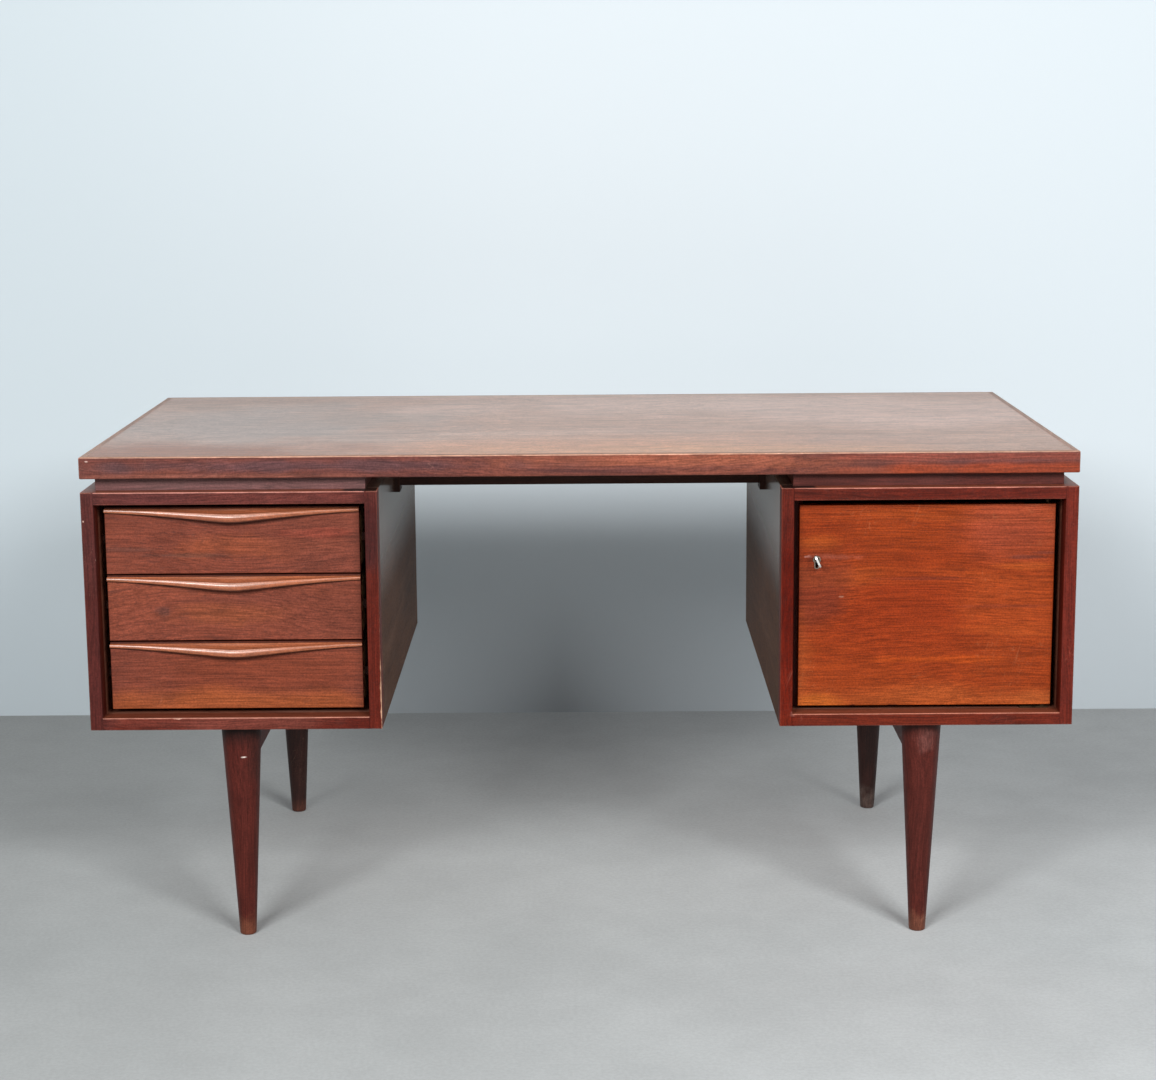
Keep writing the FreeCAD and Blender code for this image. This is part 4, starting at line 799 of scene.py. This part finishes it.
def paintCrown(tree, place, colour, crown, axis, seed, besideSpacer):
    x, y, z = splitVector(tree, place)
    upper = grainColour(tree, place, wood[crown], axis, seed + crownLook["seedStep"])["Color"]
    # painted shadow in the dark corner beside the spacer
    if besideSpacer:
        away = calc(tree, "ABSOLUTE", x)
        corner = product(
            tree,
            spread(tree, away, *crownLook["outerEnd"]),
            spread(tree, away, *crownLook["innerEnd"]),
            calc(tree, "GREATER_THAN", z, crownLook["above"]),
        )
        upper = mixColour(tree, corner, upper, opaque(crownLook["grime"]))
    upward = spread(tree, splitVector(tree, surfaceNormal(tree))["Z"], *crownLook["upward"])
    return mixColour(tree, upward, colour, upper)


# Paints the nose's highlight and its underside's shade; also gives how dull the nose is
def paintNose(tree, place, colour, name, nose, axis, seed):
    x, y, z = splitVector(tree, place)
    rubbedHighlight = grainColour(tree, place, wood[nose], axis, seed + noseLook["seedStep"])["Color"]
    normal = surfaceNormal(tree)
    likeness = vectorCalc(tree, "DOT_PRODUCT", normal, noseLook["direction"])
    facing = product(tree, spread(tree, likeness, *noseLook["likeness"]), spread(tree, y, *noseLook["depth"]))
    low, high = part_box(name)
    dull = spread(tree, x, *(low.x + (high.x - low.x) * share for share in noseLook["dull"]))
    rubbedHighlight = mixColour(tree, dull, rubbedHighlight, opaque(noseLook["dullTint"]), blend="MULTIPLY")
    colour = mixColour(tree, facing, colour, rubbedHighlight)
    # painted shade on the faces that look down
    downward = spread(tree, splitVector(tree, normal)["Z"], *noseLook["downward"])
    return mixColour(tree, downward, colour, opaque(noseLook["underside"])), dull


# standing is (left, right): beyond that band of X the grain stands upright
# crown is the finish of the faces that look up, nose that of the faces that look forward, a painted highlight
def woodMaterial(name, finish, seed, axis="x", standing=None, blots=(), crown=None, nose=None):
    settings = wood[finish]
    material, tree, shader = newMaterial(
        name,
        settings["rough"],
        coat=settings.get("coat", 0.0),
        coatRough=settings.get("coatRough", coatRoughness),
        specular=settings["gloss"],
    )
    place = objectPlace(tree)
    x, y, z = splitVector(tree, place)
    grain = grainColour(tree, place, settings, axis, seed)
    colour, tone = grain["Color"], grain["Tone"]
    if standing:
        left, right = standing
        upright = grainColour(tree, place, settings, "z", seed + lippingJoint["seedStep"])
        inside = product(tree, calc(tree, "GREATER_THAN", x, left), calc(tree, "LESS_THAN", x, right))
        near = calc(tree, "MINIMUM", apart(tree, x, left), apart(tree, x, right))
        joint = product(tree, spread(tree, near, *lippingJoint["line"]), lippingJoint["lineShare"])
        colour = mixColour(tree, inside, upright["Color"], colour)
        colour = mixColour(tree, joint, colour, opaque(settings["streak"]))
        change = calc(tree, "SUBTRACT", tone, upright["Tone"])
        tone = calc(tree, "MULTIPLY_ADD", inside, change, upright["Tone"])
    if name.endswith("_drawer_front"):
        colour = paintLipShadow(tree, place, colour, name)
    colour = paintPatches(tree, place, colour, tone, blots)
    if standing:
        colour = paintPatches(tree, place, colour, tone, wornHighlightLines[name], inside)
    if crown:
        colour = paintCrown(tree, place, colour, crown, axis, seed, besideSpacer=bool(standing))
    if nose:
        colour, dull = paintNose(tree, place, colour, name, nose, axis, seed)
        change = noseLook["dullCoat"] - settings["coat"]
        plug(tree, shader.inputs["Coat Weight"], calc(tree, "MULTIPLY_ADD", dull, change, settings["coat"]))
    if "polish" in settings:
        low, high, most = settings["polish"]
        plug(tree, shader.inputs["Coat Weight"], spread(tree, z, low, high, 0.0, most))
    scratch = useGroup(tree, "scratch", Vector=place, Amount=settings["scratches"])[0]
    dust = useGroup(tree, "dust", Vector=place, Amount=settings.get("dust", 0.0))[0]
    # edge mask: worn wood, and painted highlight on edges that look up
    wornAndHighlit = useGroup(
        tree,
        "edge",
        Vector=place,
        Width=settings.get("edgeWide", woodSurface["edgeWidth"]),
        Grit=woodSurface["edgeGrit"],
        Cover=settings["edgeCover"],
    )[0]
    if standing:
        wornAndHighlit = product(tree, wornAndHighlit, spread(tree, near, *lippingJoint["unworn"]))
    paleEdgeColour = opaque(settings["edge"])
    colour = mixColour(tree, scratch, colour, paleEdgeColour)
    colour = mixColour(tree, dust, colour, opaque(woodSurface["dustColour"]))
    colour = mixColour(tree, product(tree, wornAndHighlit, woodSurface["edgeShare"]), colour, paleEdgeColour)
    plug(tree, shader.inputs["Base Color"], colour)
    rougher = ((dust, woodSurface["dustRough"]), (scratch, woodSurface["scratchRough"]))
    plugRoughness(tree, shader, settings["rough"], woodSurface["fibreRough"], grain["Fibre"], *rougher)
    height = calc(tree, "SUBTRACT", grain["Height"], product(tree, scratch, woodSurface["scratchDepth"]))
    bump = addBump(tree, shader, height, woodSurface)
    plug(tree, bump.inputs["Normal"], roundedNormal(tree, woodSurface["easedEdge"]))
    return material


# Metal finishes. darkFrom is the depth from which the key is in the shade of its keyhole
metals = {
    "screwSteel": {"base": (0.50, 0.49, 0.46), "dull": (0.20, 0.17, 0.14), "rough": 0.42, "stain": 0.5},
    "hingeBrass": {"base": (0.055, 0.032, 0.018), "dull": (0.020, 0.013, 0.009), "rough": 0.55, "stain": 0.9},
    "boltBrass": {"base": (0.52, 0.38, 0.19), "dull": (0.25, 0.17, 0.09), "rough": 0.38, "stain": 0.5},
    "lockSteel": {"base": (0.48, 0.46, 0.42), "dull": (0.20, 0.16, 0.12), "rough": 0.40, "stain": 0.5},
    "rimNickel": {"base": (0.26, 0.20, 0.16), "dull": (0.10, 0.07, 0.055), "rough": 0.42, "stain": 0.6},
    "keyNickel": {
        "base": (0.88, 0.85, 0.80), "dull": (0.50, 0.45, 0.38), "rough": 0.26, "stain": 0.3,
        "darkFrom": -0.3335, "darkColour": (0.10, 0.08, 0.065),
    },
}

metalSurface = {
    "brushing": {"often": (60, 2600, 2600), "detail": 2},
    "stains": {"scale": 130, "detail": 5, "rough": 0.65, "limits": (0.48, 0.68)},
    "brushedRough": 0.16,
    "stainRough": 0.3,
    "darkFade": (-0.002, 0.001),  # round darkFrom
    "bump": 0.2,
    "bumpHeight": 0.00008,
}


def metalMaterial(name, finish, axis="x"):
    settings = metals[finish]
    material, tree, shader = newMaterial(name, settings["rough"], metallic=1.0)
    place = objectPlace(tree)
    lines = noise(tree, turned(tree, place, grainTurns[axis]), **metalSurface["brushing"])
    stain = product(tree, pattern(tree, place, **metalSurface["stains"]), settings["stain"])
    colour = mixColour(tree, stain, opaque(settings["base"]), opaque(settings["dull"]))
    if "darkFrom" in settings:
        inward = spread(
            tree,
            splitVector(tree, place)["Y"],
            *(settings["darkFrom"] + fade for fade in metalSurface["darkFade"]),
        )
        colour = mixColour(tree, inward, colour, opaque(settings["darkColour"]))
    plug(tree, shader.inputs["Base Color"], colour)
    rougher = (stain, metalSurface["stainRough"])
    plugRoughness(tree, shader, settings["rough"], metalSurface["brushedRough"], lines, rougher)
    addBump(tree, shader, lines, metalSurface)
    return material


# Which finish each node gets, and the direction of its grain
nodeFinish = {
    "desktop_panel": ("topVeneer", "x"),
    "desktop_front_lipping": ("topEdge", "x"),
    "desktop_rear_lipping": ("topEdge", "x"),
    "desktop_left_lipping": ("topEdge", "y"),
    "desktop_right_lipping": ("topEdge", "y"),
    "kneehole_rail": ("railWood", "x"),
    "kneehole_rail_blocks": ("railWood", "z"),
    "drawer_runners": ("runnerWood", "y"),
    "lock_batten": ("caseEdge", "z"),
    "door_panel": ("doorVeneer", "x"),
    "cupboard_shelf": ("caseVeneer", "x"),
}
for side in ("left", "right"):
    nodeFinish.update({
        f"{side}_spacer_battens": (f"{side}SpacerWood", "x"),
        f"{side}_outer_side": ("caseVeneer", "y"),
        f"{side}_inner_side": ("innerVeneer", "y"),
        f"{side}_top_board": ("caseVeneer", "x"),
        f"{side}_bottom_board": ("caseVeneer", "x"),
        f"{side}_back_panel": ("backVeneer", "x"),
        f"{side}_front_lippings": ("caseEdge", "x"),
        f"{side}_leg_rail": ("legWood", "y"),
        f"front_{side}_leg": ("legWood", "z"),
        f"rear_{side}_leg": ("rearLegWood", "z"),
    })
for drawer in ("upper", "middle", "lower"):
    nodeFinish.update({
        f"{drawer}_drawer_front": ("drawerVeneer", "x"),
        f"{drawer}_drawer_handle": ("handleWood", "x"),
        f"{drawer}_drawer_left_side": ("drawerBoxWood", "y"),
        f"{drawer}_drawer_right_side": ("drawerBoxWood", "y"),
        f"{drawer}_drawer_back": ("drawerBoxWood", "x"),
        f"{drawer}_drawer_bottom": ("plywood", "x"),
    })

nodeMetal = {
    "desktop_screws": ("screwSteel", "x"),
    "rail_block_screws": ("screwSteel", "x"),
    "leg_rail_screws": ("screwSteel", "x"),
    "door_pivot_pins": ("hingeBrass", "x"),
    "door_pivot_plates": ("hingeBrass", "x"),
    "shelf_pins": ("boltBrass", "y"),
    "lock_case": ("lockSteel", "z"),
    "strike_plate": ("lockSteel", "z"),
    "lock_bolt": ("boltBrass", "x"),
    "key": ("keyNickel", "y"),
    "keyhole_escutcheon": ("rimNickel", "z"),
}

crowns = {"topEdge": "topCrown", "caseEdge": "caseCrown"}
noses = {"handleWood": "handleNose"}
seedStep = 1.37  # gives each node a figure of its own


def nodeMaterial(name, seed):
    if name in nodeMetal:
        return metalMaterial(name, *nodeMetal[name])
    finish, axis = nodeFinish[name]
    standing = None
    if name.endswith("_front_lippings"):
        low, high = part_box(name.replace("front_lippings", "bottom_board"))
        standing = (low.x, high.x)
    blots = patches.get(name, ())
    return woodMaterial(name, finish, seed, axis, standing, blots, crowns.get(finish), noses.get(finish))


for count, name in enumerate(sorted(nodes)):
    slots = nodes[name].data.materials
    slots.clear()
    slots.append(nodeMaterial(name, count * seedStep))
print("finishes painted")


# Studio: floor, wall, world and lamps
studio = {
    "floorSize": 14,  # half of its side
    "floorColour": (0.70, 0.74, 0.75),
    # painted shade: the floor darker towards the left; painted light: paler towards the wall
    "floorLeft": (0.50, 0.53, 0.53),
    "floorFade": (1.3, -1.4),  # from the right colour to the left one
    "floorBack": 1.25,  # how much paler the floor is at the wall
    "floorPaling": (-0.9, 0.9),
    "floorClouds": {"scale": 3, "detail": 6, "rough": 0.7, "limits": (0.3, 0.7), "tones": (0.93, 1.05)},
    "floorGrit": {"scale": 170, "detail": 3, "rough": 0.7, "limits": (0.3, 0.7), "tones": (0.95, 1.05)},
    "wallSize": 7,
    "wallDistance": 0.96,
    "wallColour": (0.80, 0.88, 0.93),
    # painted shade: the wall darker towards the left
    "wallLeft": (0.72, 0.81, 0.86),
    "wallFade": (0.0, -1.2),
    "fill": 0.11,
    "fillColour": (0.97, 0.98, 1.0),
    "lamps": [
        # name, place, aim, size, power, colour
        ("softLeft", (-1.75, -4.13, 2.6), (0, 0, 0.4), (1.6, 1.3), 144, (1.0, 0.995, 0.99)),
        ("softRight", (2.0, -4.02, 2.6), (0, 0, 0.4), (1.6, 1.3), 142, (1.0, 0.995, 0.99)),
    ],
}


def makeSheet(name, size, matrix, material):
    mesh = bmesh.new()
    bmesh.ops.create_grid(mesh, x_segments=1, y_segments=1, size=size, matrix=matrix)
    data = bpy.data.meshes.new(name)
    mesh.to_mesh(data)
    mesh.free()
    data.materials.append(material)
    return bpy.data.objects.new(name, data)


def floorMaterial(settings):
    material, tree, shader = newMaterial("floor", rough=0.75, specular=0.2)
    place = objectPlace(tree)
    x, y, z = splitVector(tree, place)
    leftward = spread(tree, x, *settings["floorFade"])
    colour = mixColour(tree, leftward, opaque(settings["floorColour"]), opaque(settings["floorLeft"]))
    clouds = pattern(tree, place, **settings["floorClouds"])
    grit = pattern(tree, place, **settings["floorGrit"])
    back = spread(tree, y, *settings["floorPaling"], 1.0, settings["floorBack"])
    plug(tree, shader.inputs["Base Color"], shaded(tree, colour, product(tree, clouds, grit, back)))
    return material


def plugEither(tree, end, share, first, second):
    either = addNode(tree, "ShaderNodeMixShader")
    plugAll(tree, either.inputs, (share, first.outputs[0], second.outputs[0]))
    plug(tree, tree.nodes[end].inputs["Surface"], either.outputs[0])


def wallMaterial(settings):  # clear from behind
    material, tree, shader = newMaterial("wall", rough=0.9, specular=0.0)
    leftward = spread(tree, splitVector(tree, objectPlace(tree))["X"], *settings["wallFade"])
    colour = mixColour(tree, leftward, opaque(settings["wallColour"]), opaque(settings["wallLeft"]))
    plug(tree, shader.inputs["Base Color"], colour)
    clear = addNode(tree, "ShaderNodeBsdfTransparent")
    plugEither(tree, "Material Output", surfaceNormal(tree, "Backfacing"), shader, clear)
    return material


def makeWorld(settings):  # the wall's colour where the camera or a reflection sees it, else a weak fill
    world = bpy.data.worlds.new("studio")
    world.use_nodes = True
    tree = world.node_tree
    seen = tree.nodes["Background"]
    seen.inputs["Color"].default_value = opaque(settings["wallColour"])
    fill = addNode(tree, "ShaderNodeBackground")
    fill.inputs["Color"].default_value = opaque(settings["fillColour"])
    fill.inputs["Strength"].default_value = settings["fill"]
    rays = addNode(tree, "ShaderNodeLightPath").outputs
    mirrored = calc(tree, "MAXIMUM", rays["Is Glossy Ray"], rays["Is Transmission Ray"])
    direct = calc(tree, "MAXIMUM", rays["Is Camera Ray"], mirrored)
    plugEither(tree, "World Output", direct, fill, seen)
    return world


def makeLamp(name, place, aim, size, power, colour):
    data = bpy.data.lights.new(name, "AREA")
    data.shape = "RECTANGLE"
    data.size, data.size_y = size
    data.energy = power
    data.color = colour
    lamp = bpy.data.objects.new(name, data)
    lamp.location = place
    lamp.rotation_euler = (Vector(aim) - Vector(place)).to_track_quat("-Z", "Y").to_euler()
    return lamp


def makeStage(settings):
    scene = bpy.context.scene
    floor = makeSheet("floor", settings["floorSize"], Matrix(), floorMaterial(settings))
    upright = Matrix.Rotation(math.radians(90), 4, "X")
    atBack = Matrix.Translation((0, settings["wallDistance"], settings["wallSize"]))
    wall = makeSheet("wall", settings["wallSize"], atBack @ upright, wallMaterial(settings))
    for name in ("visible_diffuse", "visible_glossy", "visible_transmission", "visible_shadow"):
        setattr(wall, name, False)
    for piece in (floor, wall):
        scene.collection.objects.link(piece)
    scene.world = makeWorld(settings)
    for lamp in settings["lamps"]:
        scene.collection.objects.link(makeLamp(*lamp))
    scene.view_settings.view_transform = "Standard"


makeStage(studio)
print("stage set")
